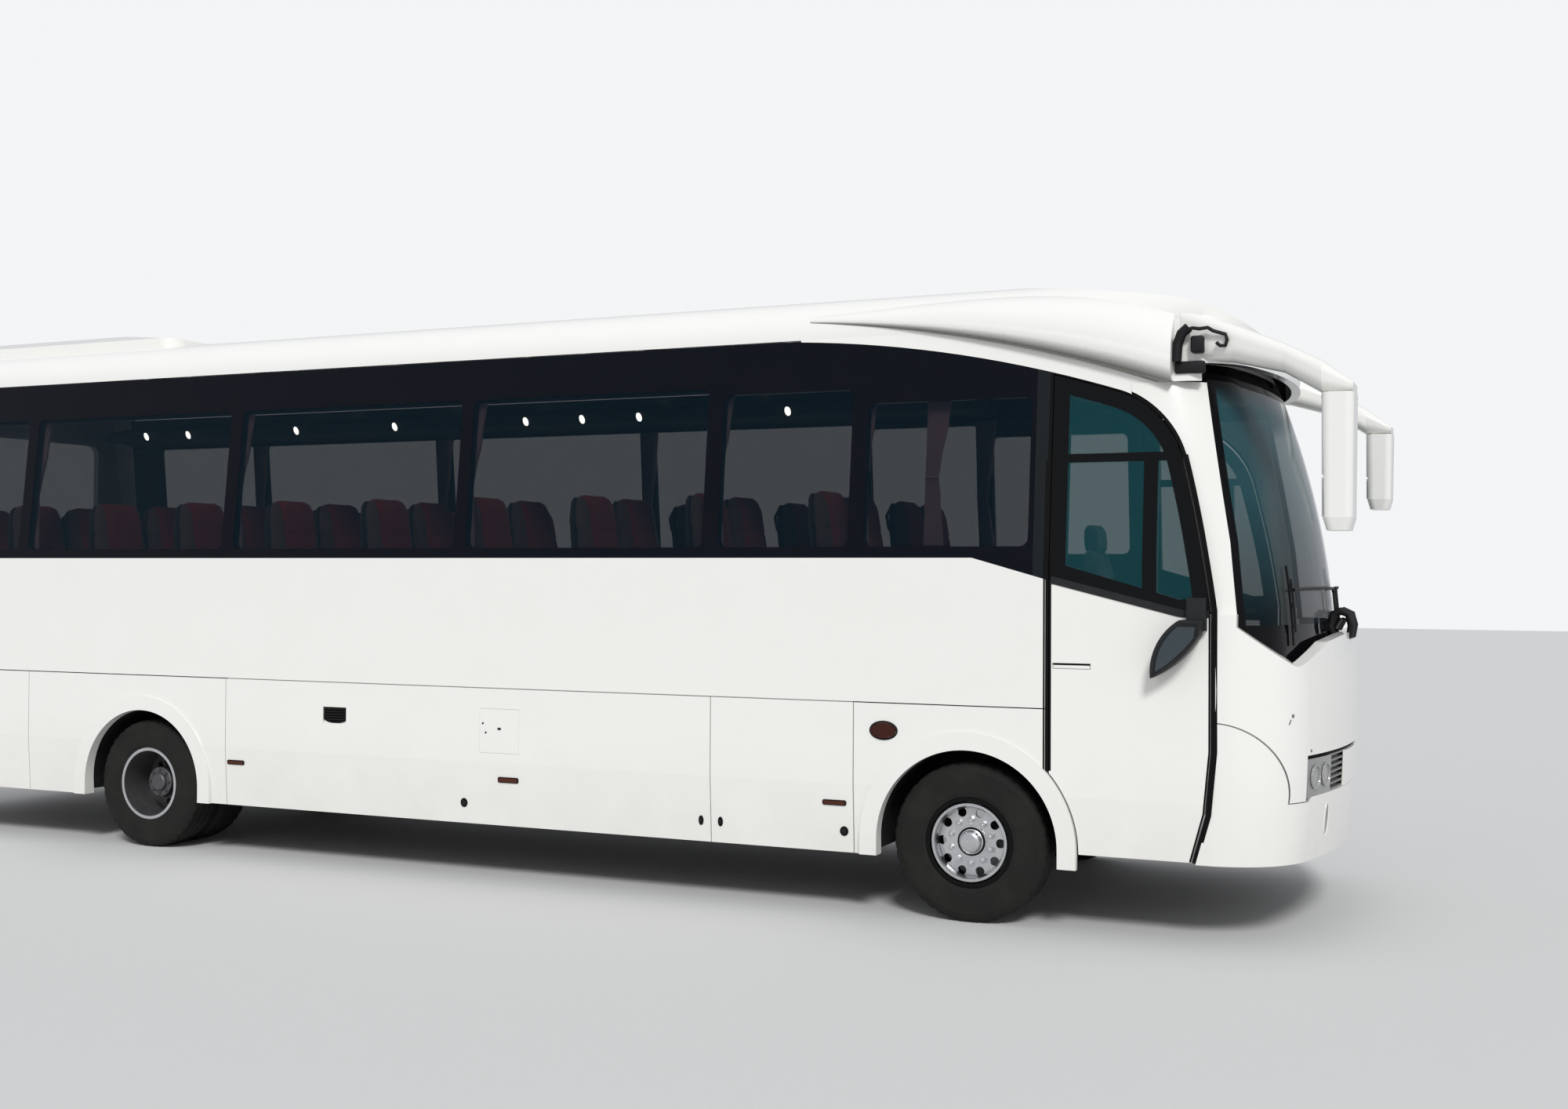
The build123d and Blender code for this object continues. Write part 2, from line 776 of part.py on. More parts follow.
# All the glass that is fixed to the body
with BuildPart() as body_glass:
    add(glass_tube & across_body(window_openings()))
    add(glass_tube & one_side(door_windows(), 1))
    add(glass_tube & one_side(low_pane, 1))
    add(rear_view(rounded(2 * rear_window[0], rear_window[1:], 80), glass_thick))
body_glass.part.label = "body_glass"

# Luggage doors; columns: name, side, rear edge, front edge
luggage_doors = [
    ("luggage_door_right_rear", -1, bay_rear_x, bay_split_x),
    ("luggage_door_right_front", -1, bay_split_x, bay_front_x),
    ("luggage_door_left_rear", 1, bay_rear_x, bay_split_x),
    ("luggage_door_left_front", 1, bay_split_x, bay_front_x),
]
flap_x = (ahead(-3030), ahead(-2750))
flap_z = (757, 1024)
vent_x = (ahead(-4200), ahead(-4020))
vent_z = (890, 990)
lids = []
for name, side, low_x, high_x in luggage_doors:
    edges = (low_x + panel_gap / 2, high_x - panel_gap / 2)
    with BuildPart() as lid:
        add(main_tube & one_side(span(edges, (skirt_z, belt_z - panel_gap / 2)), side))
        if side < 0 and low_x == bay_rear_x:
            add(block(vent_x, (-half_width - 5, -half_width + 14), vent_z), mode=Mode.SUBTRACT)
            with BuildSketch(Plane.XZ.offset(half_width - 3)):
                add(span(flap_x, flap_z))
                add(span((flap_x[0] + 4, flap_x[1] - 4), (flap_z[0] + 4, flap_z[1] - 4)), mode=Mode.SUBTRACT)
            extrude(amount=20, mode=Mode.SUBTRACT)
    lid.part.label = name
    lids.append(lid)

# Roof pod: three rounded outlines, smaller towards the top; columns: height, rear, front, half width
pod_levels = [
    (roof_z - 150, rear_end_x + 330, ahead(-5700), 950),
    (roof_z + 12, rear_end_x + 350, ahead(-5790), 935),
    (3505, rear_end_x + 480, ahead(-6350), 720),
]
pod_corner_r = 120
with BuildPart() as roof_pod:
    for z, rear_x, fore_x, half_y in pod_levels:
        with BuildSketch(Plane.XY.offset(z)):
            with Locations(((rear_x + fore_x) / 2, 0)):
                RectangleRounded(fore_x - rear_x, 2 * half_y, pod_corner_r)
    loft(ruled=True)
    add(body_prism(0, rear_cap_x - 100, ahead(-5000)), mode=Mode.SUBTRACT)
roof_pod.part.label = "roof_pod"

# Escape hatches in the roof
hatch_places = [-4300, -1700]
hatch_size = (760, 700)
hatch_top_z = roof_z + 42
with BuildPart() as roof_hatches:
    for place in hatch_places:
        for z, shrink in ((roof_z - 60, 0), (roof_z + 26, 0), (hatch_top_z, 60)):
            with BuildSketch(Plane.XY.offset(z)):
                with Locations((ahead(place), 0)):
                    RectangleRounded(hatch_size[0] - shrink, hatch_size[1] - shrink, 60)
        loft(ruled=True)
    add(body_prism(0, rear_cap_x, ahead(0)), mode=Mode.SUBTRACT)
roof_hatches.part.label = "roof_hatches"

# Hanging mirrors; columns: side, foot height
mirror_heads = [(-1, 2050), (1, 2250)]
head_x = (ahead(1790), ahead(mirror_reach))
head_y = (1100, mirror_y)
head_top_z = 2706
head_r = 38
joint_groove = 6
# Arm sections; columns: ahead of the axle, middle y, foot height, top height, width
arm_sections = [
    (1090, 1050, 2925, 3200, 170),
    (1350, 1100, 2900, 3090, 180),
    (1600, 1160, 2832, 2972, 195),
    (1790, 1222, 2712, 2868, 215),
]
arm_tip = (1935, 1225, 2712, 2752, 225)


def arm_face(x, mid_y, foot, top, width, side):
    """One rounded section of a mirror arm, across the coach."""
    with BuildSketch(Plane.YZ.offset(ahead(x))) as face:
        with Locations((side * mid_y, (foot + top) / 2)):
            RectangleRounded(width, top - foot, 0.42 * min(width, top - foot))
    return face.sketch


def head_face(z, foot_shrink):
    """One rounded section of a mirror head, seen from above on the left."""
    with BuildSketch(Plane.XY.offset(z)) as face:
        with Locations((sum(head_x) / 2, sum(head_y) / 2)):
            RectangleRounded(head_x[1] - head_x[0] - foot_shrink, head_y[1] - head_y[0] - foot_shrink, head_r)
    return face.sketch


def mirror_arm(side):
    with BuildPart() as arm:
        for section in arm_sections:
            add(arm_face(*section, side))
        loft(ruled=True)
    with BuildPart() as tip:
        add(arm_face(*arm_sections[-1], side))
        add(arm_face(*arm_tip, side))
        loft()
    return arm.part + tip.part


def mirror_head(side, foot_z):
    """The hanging housing, with its glass recess facing back and a neck into the arm."""
    with BuildPart() as head:
        for z, shrink in ((head_top_z, 0), (foot_z + 60, 12), (foot_z, 44)):
            add(head_face(z, shrink))
        loft(ruled=True)
        add(block((head_x[0] - 5, head_x[0] + 12), (head_y[0] + 22, head_y[1] - 22),
                  (foot_z + 60, head_top_z - 30)), mode=Mode.SUBTRACT)
        add(block((head_x[0] + 30, head_x[1] - 45), (head_y[0] + 50, head_y[1] - 60),
                  (head_top_z - 20, head_top_z + 2 * joint_groove)))
    return head.part if side > 0 else head.part.mirror(Plane.XZ)


with BuildPart() as mirrors:
    for side, foot_z in mirror_heads:
        add(mirror_arm(side) + mirror_head(side, foot_z))
    add(dome_solid(0), mode=Mode.SUBTRACT)
    add(left_wing, mode=Mode.SUBTRACT)
    add(left_wing.mirror(Plane.XZ), mode=Mode.SUBTRACT)
    add(front_loft(screen_levels, 0, screen_back_x, 0), mode=Mode.SUBTRACT)
mirrors.part.label = "mirrors"

# Ladder frame with towing brackets
rail_y = (380, 440)
rail_z = (560, 760)
frame_x = (rear_end_x + 180, ahead(1480))
member_places = [-6400, -4300, -2800, -1300, 700, 1400]
member_half = 40
tow_hole_r = 20
tow_z = (430, 490)
tow_front_x = ahead(1560)
tow_rear_x = rear_end_x + 110
with BuildPart() as chassis_rails:
    for low_y, high_y in both_sides(*rail_y):
        add(block(frame_x, (low_y, high_y), rail_z))
chassis_rails.part.label = "chassis_rails"

member_z = (600, 720)
tow_y = 60
with BuildPart() as cross_members:
    for place in member_places:
        member_x = (ahead(place) - member_half, ahead(place) + member_half)
        add(block(member_x, (-rail_y[0], rail_y[0]), member_z))
    add(block((frame_x[0], frame_x[0] + 100), (-rail_y[0], rail_y[0]), member_z))
    for low_x, high_x, hole_x, post_x in (
        (ahead(1360), tow_front_x + 45, tow_front_x, ahead(1360)),
        (tow_rear_x - 45, frame_x[0] + 100, tow_rear_x, frame_x[0]),
    ):
        add(block((low_x, high_x), (-tow_y, tow_y), tow_z))
        add(block((post_x, post_x + 80), (-tow_y, tow_y), (tow_z[0], member_z[0] + 50)))
        with Locations((hole_x, 0, tow_z[1])):
            Hole(tow_hole_r, depth=tow_z[1] - tow_z[0])
cross_members.part.label = "cross_members"

# Luggage bay: floor and bulkheads
floor_z = (1150, 1185)
bay_floor_z = (400, 425)
bulkhead = 25
bulkhead_places = [bay_front_x + panel_gap / 2, bay_rear_x - panel_gap / 2 - bulkhead, quarter_x - 40]
with BuildPart() as luggage_bay:
    for place in bulkhead_places:
        with BuildSketch(Plane.YZ.offset(place)):
            add(body_section(wall, skirt_z - 10))
        extrude(amount=bulkhead)
    add(across_body(span((rear_end_x, ahead(2000)), (bay_floor_z[0], floor_z[0]))), mode=Mode.INTERSECT)
    add(block((bay_rear_x - panel_gap, bay_front_x + panel_gap), (-1168, 1168), bay_floor_z))
    for low_y, high_y in both_sides(*rail_y):
        add(block(frame_x, (low_y, high_y), rail_z), mode=Mode.SUBTRACT)
    add(block((quarter_x - 100, quarter_x + 100), (-rail_y[0], rail_y[0]), (bay_floor_z[0], floor_z[0])),
        mode=Mode.SUBTRACT)
luggage_bay.part.label = "luggage_bay"

# Saloon floor, and the lower cab floor with its riser and the hole for the steps
cab_floor_z = (760, 785)
cab_x = (ahead(530), ahead(1300))
step_x = (ahead(640), ahead(1240))
cab_y = 1172
step_y = 560
with BuildPart() as saloon_floor:
    add(block((rear_cap_x, cab_x[0] - seat_gap), (-half_width + wall, half_width - wall), floor_z))
saloon_floor.part.label = "saloon_floor"

with BuildPart() as cab_floor:
    add(block((cab_x[0], cab_x[0] + bulkhead), (-cab_y, cab_y), (cab_floor_z[0], floor_z[1])))
    add(block(cab_x, (-cab_y, cab_y), cab_floor_z))
    add(block(step_x, (step_y, across), (cab_floor_z[0] - 5, cab_floor_z[1] + 5)), mode=Mode.SUBTRACT)
cab_floor.part.label = "cab_floor"

# Entrance steps: lower tread, upper tread on its riser, and the well's back and inner walls
step_plate = 20
low_tread_z = 400
high_tread_z = 580
high_tread_depth = 290
well_y = (step_y - step_plate, 1140)
well_top_z = cab_floor_z[0] - seat_gap
with BuildPart() as entrance_steps:
    add(block(step_x, well_y, (low_tread_z, low_tread_z + step_plate)))
    add(block(step_x, (step_y, step_y + high_tread_depth), (high_tread_z, high_tread_z + step_plate)))
    riser_y = (step_y + high_tread_depth - step_plate, step_y + high_tread_depth)
    add(block(step_x, riser_y, (low_tread_z, high_tread_z)))
    add(block(step_x, (well_y[0], step_y), (low_tread_z, well_top_z)))
    add(block((step_x[0] - 2 * step_plate, step_x[0]), well_y, (low_tread_z, well_top_z)))
entrance_steps.part.label = "entrance_steps"

# Wheel houses behind the arches
house_depth = 560
with BuildPart() as wheel_houses:
    for axle_x in (front_axle_x, rear_axle_x):
        for side in (-1, 1):
            with BuildSketch(Plane.XZ.offset(-side * (half_width - wall))):
                add(arch_shape(axle_x, arch_r + 10))
                add(span((axle_x - 1000, axle_x + 1000), (tyre_r - 60, 1200)), mode=Mode.INTERSECT)
            extrude(amount=side * house_depth)
            with BuildSketch(Plane.XZ.offset(-side * (half_width - wall))):
                add(arch_shape(axle_x, arch_r + 3))
            extrude(amount=side * (house_depth - 7), mode=Mode.SUBTRACT)
        slot = block((axle_x - 130, axle_x + 130), (-half_width, half_width), (0, tyre_r + 120))
        add(slot, mode=Mode.SUBTRACT)
    add(body_prism(wall, rear_cap_x, ahead(1000)), mode=Mode.INTERSECT)
wheel_houses.part.label = "wheel_houses"

# Engine block, closed inside the tail
engine_x = (frame_x[0] + 100, ahead(member_places[0]) - member_half)
engine_z = (600, 1100)
with BuildPart() as engine:
    add(block(engine_x, (-330, 330), engine_z))
engine.part.label = "engine"

# Front axle beam with kingpin eyes, and its air springs
kingpin_y = wheel_y - kingpin_inboard
eye_r = 30
eye_half = 50
beam_half = 28
beam_width = 90
beam_drop_z = (290, 380)
beam_end_z = (tyre_r - 40, tyre_r + 40)
spring_r = 110
spring_y = 410
# Half of the beam's front view, from its top at the middle out to the kingpin and back below
beam_half_view = [
    (680, beam_drop_z[1]),
    (820, beam_end_z[1]),
    (kingpin_y - 70, beam_end_z[1]),
    (kingpin_y - 70, beam_end_z[0]),
    (830, beam_end_z[0]),
    (700, beam_drop_z[0]),
]
with BuildPart() as front_axle:
    with BuildSketch(Plane.YZ.offset(front_axle_x - beam_width / 2)):
        add(outline(*beam_half_view, *[(-y, z) for y, z in reversed(beam_half_view)]))
    extrude(amount=beam_width)
    for side in (-1, 1):
        low_y, high_y = sorted((side * (kingpin_y - 80), side * kingpin_y))
        add(block((front_axle_x - beam_half, front_axle_x + beam_half), (low_y, high_y),
                  (tyre_r - eye_half + 5, tyre_r + eye_half - 5)))
        with BuildSketch(Plane.XY.offset(tyre_r - eye_half)):
            with Locations((front_axle_x, side * kingpin_y)):
                Circle(eye_r)
        extrude(amount=2 * eye_half)
        with BuildSketch(Plane.XY.offset(beam_drop_z[1])):
            with Locations((front_axle_x, side * spring_y)):
                Circle(spring_r)
        extrude(amount=rail_z[0] - beam_drop_z[1])
        with BuildSketch(Plane.XY.offset(tyre_r - eye_half - 10)):
            with Locations((front_axle_x, side * kingpin_y)):
                Circle(kingpin_r + bearing_play)
        extrude(amount=2 * eye_half + 20, mode=Mode.SUBTRACT)
front_axle.part.label = "front_axle"

# Knuckles: forked ears on the kingpin, and a spindle for the wheel
ear_gap = 2
ear_thick = 46
ear_half = eye_r + 6
post_half = 50
plate_y = (kingpin_inboard - 58, kingpin_inboard - 36)


def knuckle(side):
    pin_y = side * kingpin_y
    ear_y = sorted((pin_y, side * (wheel_y - plate_y[0])))
    post_y = sorted((side * (kingpin_y + eye_r + 8), side * (wheel_y - 28)))
    foot_z = tyre_r - eye_half - ear_gap - ear_thick
    with BuildPart() as piece:
        for low_z in (foot_z, tyre_r + eye_half + ear_gap):
            with BuildSketch(Plane.XY.offset(low_z)):
                with Locations((front_axle_x, pin_y)):
                    Circle(ear_half)
                add(span((front_axle_x - ear_half, front_axle_x + ear_half), ear_y))
            extrude(amount=ear_thick)
        add(block((front_axle_x - post_half, front_axle_x + post_half), post_y, (foot_z, 2 * tyre_r - foot_z)))
        pin_z = (tyre_r - eye_half - 30, tyre_r + eye_half + 30)
        add(rod((front_axle_x, pin_y, pin_z[0]), (front_axle_x, pin_y, pin_z[1]), kingpin_r))
        spindle_ends = (side * (wheel_y - 40), side * (wheel_y + 52))
        add(rod((front_axle_x, spindle_ends[0], tyre_r), (front_axle_x, spindle_ends[1], tyre_r), spindle_r))
    return piece.part


knuckles = []
for name, side in (("knuckle_right", -1), ("knuckle_left", 1)):
    with BuildPart() as piece:
        add(knuckle(side))
    piece.part.label = name
    knuckles.append(piece)

# Rear axle: tube, final drive, spindles and spring saddles
rear_spindle_r = 45
inner_y = wheel_y - twin_pitch
saddle_z = (400, 480)
saddle_half = 40
saddle_reach = 380
tube_end_y = inner_y - 165
tube_r = 85
drive_r = 185
with BuildPart() as rear_axle:
    add(rod((rear_axle_x, -tube_end_y, tyre_r), (rear_axle_x, tube_end_y, tyre_r), tube_r))
    add(rod((rear_axle_x, -wheel_y - 20, tyre_r), (rear_axle_x, wheel_y + 20, tyre_r), rear_spindle_r))
    with Locations((rear_axle_x, 0, tyre_r)):
        Sphere(drive_r)
    for side in (-1, 1):
        saddle_y = sorted((side * (spring_y - saddle_half), side * (spring_y + saddle_half)))
        add(block((rear_axle_x - saddle_reach, rear_axle_x + saddle_reach), saddle_y, saddle_z))
        for shift in (-290, 290):
            with BuildSketch(Plane.XY.offset(saddle_z[1])):
                with Locations((rear_axle_x + shift, side * spring_y)):
                    Circle(spring_r - 20)
            extrude(amount=rail_z[0] - saddle_z[1])
rear_axle.part.label = "rear_axle"


def wheel_plane(y):
    """A plane through a wheel's middle: local x runs along the axle, local y outwards from it."""
    return lambda x: Plane(origin=(x, y, tyre_r), x_dir=(0, 1, 0), z_dir=(1, 0, 0))


def tyre(axle_x, y):
    """One tyre: bead, bulging side, bevelled shoulder and flat tread."""
    half = tyre_width / 2
    with BuildPart() as ring:
        with BuildSketch(wheel_plane(y)(axle_x)):
            with BuildLine():
                right_face = [
                    (half - 14, rim_r),
                    (half - 14, rim_r + 14),
                    (half, rim_r + 95),
                    (half - 10, tyre_r - 24),
                    (half - 34, tyre_r),
                ]
                left_face = [(-reach, radius) for reach, radius in reversed(right_face)]
                Polyline(*right_face, *left_face, close=True)
            make_face()
        revolve(axis=Axis((axle_x, y, tyre_r), (0, 1, 0)))
    return ring.part


def ring_profile(axle_x, y, points):
    with BuildPart() as ring:
        with BuildSketch(wheel_plane(y)(axle_x)):
            with BuildLine():
                Polyline(*points, close=True)
            make_face()
        revolve(axis=Axis((axle_x, y, tyre_r), (0, 1, 0)))
    return ring.part


hand_holes = 10
hand_hole_r = 24
hand_hole_pcd = 320
bead_y = tyre_width / 2 - 14


def rim_points(low_y, high_y):
    """Barrel section with a flange at each rim edge."""
    lip_r = rim_r + 10
    barrel_r = rim_r - rim_wall
    return [
        (low_y, rim_r), (low_y, lip_r), (low_y - 6, lip_r), (low_y - 6, barrel_r),
        (high_y + 6, barrel_r), (high_y + 6, lip_r), (high_y, lip_r), (high_y, rim_r),
    ]


def hand_hole_cut(axle_x, y, depth):
    with BuildPart() as holes:
        with BuildSketch(Plane(origin=(axle_x, y, tyre_r), x_dir=(1, 0, 0), z_dir=(0, 1, 0))):
            with PolarLocations(hand_hole_pcd / 2, hand_holes):
                Circle(hand_hole_r)
        extrude(amount=depth, both=True)
    return holes.part


# The front wheel's dished disc, from the hub out to the barrel and back on its inner face
disc_r = rim_r - rim_wall + 1
disc_points = [(44, 70), (60, 70), (74, 150), (62, disc_r), (50, disc_r), (60, 150)]
hub_r = 84
front_wheels = []
for name, side in (("wheel_front_right", -1), ("wheel_front_left", 1)):
    y = side * wheel_y
    bore = spindle_r + bearing_play
    with BuildPart() as rim:
        add(ring_profile(front_axle_x, y, rim_points(-bead_y, bead_y)))
        add(ring_profile(front_axle_x, y, [(side * along, radius) for along, radius in disc_points]))
        hub_points = [(-20, bore), (66, bore), (66, hub_r), (-20, hub_r)]
        add(ring_profile(front_axle_x, y, [(side * along, radius) for along, radius in hub_points]))
        add(hand_hole_cut(front_axle_x, y + side * 65, 40), mode=Mode.SUBTRACT)
    rim.part.label = name
    with BuildPart() as rubber:
        add(tyre(front_axle_x, y))
    rubber.part.label = name.replace("wheel", "tyre")
    front_wheels += [rim, rubber]

rear_wheels = []
for name, side in (("wheels_rear_right", -1), ("wheels_rear_left", 1)):
    y = side * wheel_y
    bore = rear_spindle_r + bearing_play
    far = -side * twin_pitch
    middle = far / 2
    with BuildPart() as rim:
        for mid in (0, far):
            add(ring_profile(rear_axle_x, y, rim_points(mid - bead_y, mid + bead_y)))
        add(ring_profile(rear_axle_x, y, [
            (middle - 40, rim_r - rim_wall),
            (middle + 40, rim_r - rim_wall),
            (middle + 40, rim_r),
            (middle - 40, rim_r),
        ]))
        add(ring_profile(rear_axle_x, y, [
            (middle - 12, 80),
            (middle + 12, 80),
            (middle + 12, disc_r),
            (middle - 12, disc_r),
        ]))
        add(ring_profile(rear_axle_x, y, [
            (middle - 40 * side, bore),
            (side * 5, bore),
            (side * 5, 95),
            (middle - 40 * side, 110),
        ]))
        add(hand_hole_cut(rear_axle_x, y + middle, 40), mode=Mode.SUBTRACT)
    rim.part.label = name
    with BuildPart() as rubber:
        add(tyre(rear_axle_x, y))
        add(tyre(rear_axle_x, y + far))
    rubber.part.label = name.replace("wheels", "tyres")
    rear_wheels += [rim, rubber]

# Seats: side view from the floor up, ahead of the seat's own place
seat_pitch = 770
seat_rows = 9
first_row_x = ahead(-900)
seat_y = (170, 1120)
seat_half = (seat_y[1] - seat_y[0]) / 2
seat_top_z = floor_z[1] + 1100
rear_bench_x = rear_end_x + 420


def seat_view(x, foot_z, top_z):
    """Side view of a seat: foot, cushion with a rounded front edge, raked back with a rounded top."""
    cushion_z = foot_z + 440
    under_front = (x + 500, cushion_z - 110)
    front_edge = (x + 490, cushion_z)
    head_front = (x + 20, top_z - 20)
    head_rear = (x - 75, top_z - 30)
    with BuildSketch(Plane.XY) as view:
        with BuildLine():
            Polyline((x + 130, foot_z), (x + 330, foot_z), (x + 350, cushion_z - 130), under_front)
            ThreePointArc(under_front, (x + 530, cushion_z - 50), front_edge)
            Polyline(front_edge, (x + 130, cushion_z - 20), (x + 60, top_z - 280), head_front)
            ThreePointArc(head_front, (x - 30, top_z), head_rear)
            Polyline(head_rear, (x - 40, top_z - 360), (x + 20, cushion_z - 60))
            Polyline((x + 20, cushion_z - 60), (x + 110, cushion_z - 130), (x + 130, foot_z))
        make_face()
    return view.sketch


def seat(x, y_range, foot_z, top_z):
    low_y, high_y = y_range
    with BuildPart() as piece:
        with BuildSketch(Plane.XZ.offset(-high_y)):
            add(seat_view(x, foot_z, top_z))
        extrude(amount=high_y - low_y)
    return piece.part


with BuildPart() as seats:
    with GridLocations(0, seat_y[0] + seat_y[1], 1, 2):
        add(seat(first_row_x, (-seat_half, seat_half), floor_z[1], seat_top_z))
    one_row = seats.part
    for row in range(1, seat_rows):
        add(one_row.moved(Location((-row * seat_pitch, 0, 0))))
    add(seat(rear_bench_x, (-seat_y[1], seat_y[1]), floor_z[1], seat_top_z))
seats.part.label = "seats"

driver_seat_x = ahead(560)
driver_seat_y = (-860, -380)
driver_seat_top_z = cab_floor_z[1] + 1330
with BuildPart() as driver_seat:
    add(seat(driver_seat_x, driver_seat_y, cab_floor_z[1], driver_seat_top_z))
driver_seat.part.label = "driver_seat"

# Luggage racks along both sides, seated on the window frames
rack_x = (rear_cap_x + 40, ahead(-500))
rack_low_z = 2895
rack_high_z = 3060
rack_edge = [(800, 2925), (770, 2990)]
with BuildPart() as luggage_racks:
    for side in (-1, 1):
        with BuildSketch(Plane.YZ.offset(rack_x[0])):
            add(outline(
                (side * (lean_y(rack_low_z) - wall - 0.3), rack_low_z),
                *[(side * y, z) for y, z in rack_edge],
                (side * (lean_y(rack_high_z) - wall - 0.3), rack_high_z),
            ))
        extrude(amount=rack_x[1] - rack_x[0])
luggage_racks.part.label = "luggage_racks"

# Gathered curtains at the pillars
curtain_width = 125
curtain_depth = (0.3, 35)
curtain_z = (1985, 2870)
curtain_places = [-6855, -5045, -3235, -1557, -674, -250]
with BuildPart() as curtains:
    for place in curtain_places:
        for side in (-1, 1):
            with BuildSketch(Plane.YZ.offset(ahead(place) - 20)):
                near, far = curtain_depth
                corners = [(curtain_z[0], near), (curtain_z[0], far), (curtain_z[1], far), (curtain_z[1], near)]
                add(outline(*[(side * (lean_y(z) - wall - depth), z) for z, depth in corners]))
            extrude(amount=curtain_width)
curtains.part.label = "curtains"

# Dashboard with the steering column
dash_y = 930
column_foot = (ahead(1330), -620, 1150)
column_top = (ahead(1175), -620, 1560)
column_r = 38
spigot_r = 12
dash_foot = (ahead(1250), cab_floor_z[1])
dash_front = (ahead(1530), 1290)
dash_rear = (ahead(1210), 1380)
with BuildPart() as dashboard:
    with BuildSketch(Plane.XZ):
        with BuildLine():
            Polyline(dash_foot, (ahead(1370), dash_foot[1]), (ahead(1500), 1120), dash_front)
            ThreePointArc(dash_front, (ahead(1370), 1395), dash_rear)
            Polyline(dash_rear, (ahead(1190), 1180), (ahead(1290), 1080), dash_foot)
        make_face()
    extrude(amount=dash_y, both=True)
    add(rod(column_foot, column_top, column_r))
    column = Vector(*column_top) - Vector(*column_foot)
    spigot = Vector(*column_top) + column.normalized() * 40
    add(rod(column_top, tuple(spigot), spigot_r))
dashboard.part.label = "dashboard"

# Steering wheel on the column's spigot
steering_r = 225
rim_thick = 28
boss_r = 48
spoke_width = 34
with BuildPart() as steering_wheel:
    face = Plane(origin=column_top, x_dir=(0, 1, 0), z_dir=column)
    with BuildSketch(face.offset(3)):
        Circle(boss_r)
        Circle(spigot_r + bearing_play, mode=Mode.SUBTRACT)
    extrude(amount=34)
    with BuildSketch(face.offset(12)):
        for turn in (90, 210, 330):
            with Locations(Rotation(0, 0, turn)):
                with Locations((steering_r / 2 + 15, 0)):
                    Rectangle(steering_r - 30, spoke_width)
        Circle(30, mode=Mode.SUBTRACT)
    extrude(amount=14)
    with BuildSketch(face.offset(6)):
        Circle(steering_r)
        Circle(steering_r - rim_thick, mode=Mode.SUBTRACT)
    extrude(amount=26)
steering_wheel.part.label = "steering_wheel"

# Amber lamps on the sides
lamp_rise = 14
side_lamp_place = (ahead(-456), 998)
side_lamp_half = (70, 41)
with BuildPart() as side_lamps:
    for side in (-1, 1):
        with BuildSketch(Plane.XZ.offset(-side * half_width)):
            with Locations(side_lamp_place):
                Ellipse(*side_lamp_half)
        extrude(amount=-side * lamp_rise)
side_lamps.part.label = "side_lamps"

pieces = [
    window_frames, body_glass, side_panels, lower_panels, roof, front_dome, front_mask, front_bumper, grille,
    headlamps, windscreen, rear_wall, rear_bumper, engine_lid, tail_lamps, driver_door, driver_door_glass,
    kerb_mirror, passenger_door, *lids, roof_pod, roof_hatches, mirrors, chassis_rails, cross_members,
    luggage_bay, saloon_floor, cab_floor, entrance_steps, wheel_houses, engine, front_axle, *knuckles,
    rear_axle, *front_wheels, *rear_wheels, seats, driver_seat, luggage_racks, curtains, dashboard,
    steering_wheel, side_lamps,
]
for piece in pieces:
    print(piece.part.label, len(piece.part.solids()), round(piece.part.volume / 1e6, 1))
    export_step(piece.part, "parts/" + piece.part.label + ".step")
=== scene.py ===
import math

import bmesh
import bpy
from mathutils import Matrix, Vector


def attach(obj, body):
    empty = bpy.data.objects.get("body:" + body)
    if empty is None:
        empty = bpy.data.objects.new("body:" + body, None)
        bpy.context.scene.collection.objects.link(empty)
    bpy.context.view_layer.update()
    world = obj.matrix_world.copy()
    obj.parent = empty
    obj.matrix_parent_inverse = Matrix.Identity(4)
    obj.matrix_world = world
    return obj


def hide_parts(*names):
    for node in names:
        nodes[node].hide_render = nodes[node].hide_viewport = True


# White touring coach: lengths in metres, +X forward, +Y to the coach's left, road at z = 0
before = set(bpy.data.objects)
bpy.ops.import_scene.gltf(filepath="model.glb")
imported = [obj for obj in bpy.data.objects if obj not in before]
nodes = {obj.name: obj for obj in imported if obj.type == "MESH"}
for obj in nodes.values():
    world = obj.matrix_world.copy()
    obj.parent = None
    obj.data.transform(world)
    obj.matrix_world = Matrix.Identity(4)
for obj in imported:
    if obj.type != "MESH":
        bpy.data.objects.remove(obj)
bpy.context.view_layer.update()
scene = bpy.context.scene
print("coach frame loaded")

frontAxleX = 3.26
rearAxleX = -2.44
rearEndX = -5.2
halfWidth = 1.25
sideLean = 0.10
sideKnee = 1.92
axleZ = 0.421
wheelY = 1.07


def ahead(distance):
    return frontAxleX + distance


# Half width of the body at a height: tucked in below, upright, then leaning in above the sill
def sideY(z):
    if z < 0.70:
        return 1.228 + 0.022 * (z - 0.33) / 0.37
    return halfWidth - sideLean * max(0.0, z - sideKnee)


# Smooth front line through three (height, distance) levels
def frontLine(levels, z):
    (z0, x0), (z1, x1), (z2, x2) = levels
    first = x0 * (z - z1) * (z - z2) / ((z0 - z1) * (z0 - z2))
    second = x1 * (z - z0) * (z - z2) / ((z1 - z0) * (z1 - z2))
    third = x2 * (z - z0) * (z - z1) / ((z2 - z0) * (z2 - z1))
    return first + second + third


frontBow = 3.4
noseLevels = ((0.40, 1.785), (1.00, 1.822), (1.64, 1.796))
screenLevels = ((1.30, 1.712), (2.25, 1.600), (3.06, 1.335))


# Where the bowed nose or screen lies at a place across the coach and a height
def bowX(levels, y, z):
    return ahead(frontLine(levels, z)) - frontBow + math.sqrt(frontBow ** 2 - y ** 2)


def bothSides():
    return (("right", -1), ("left", 1))


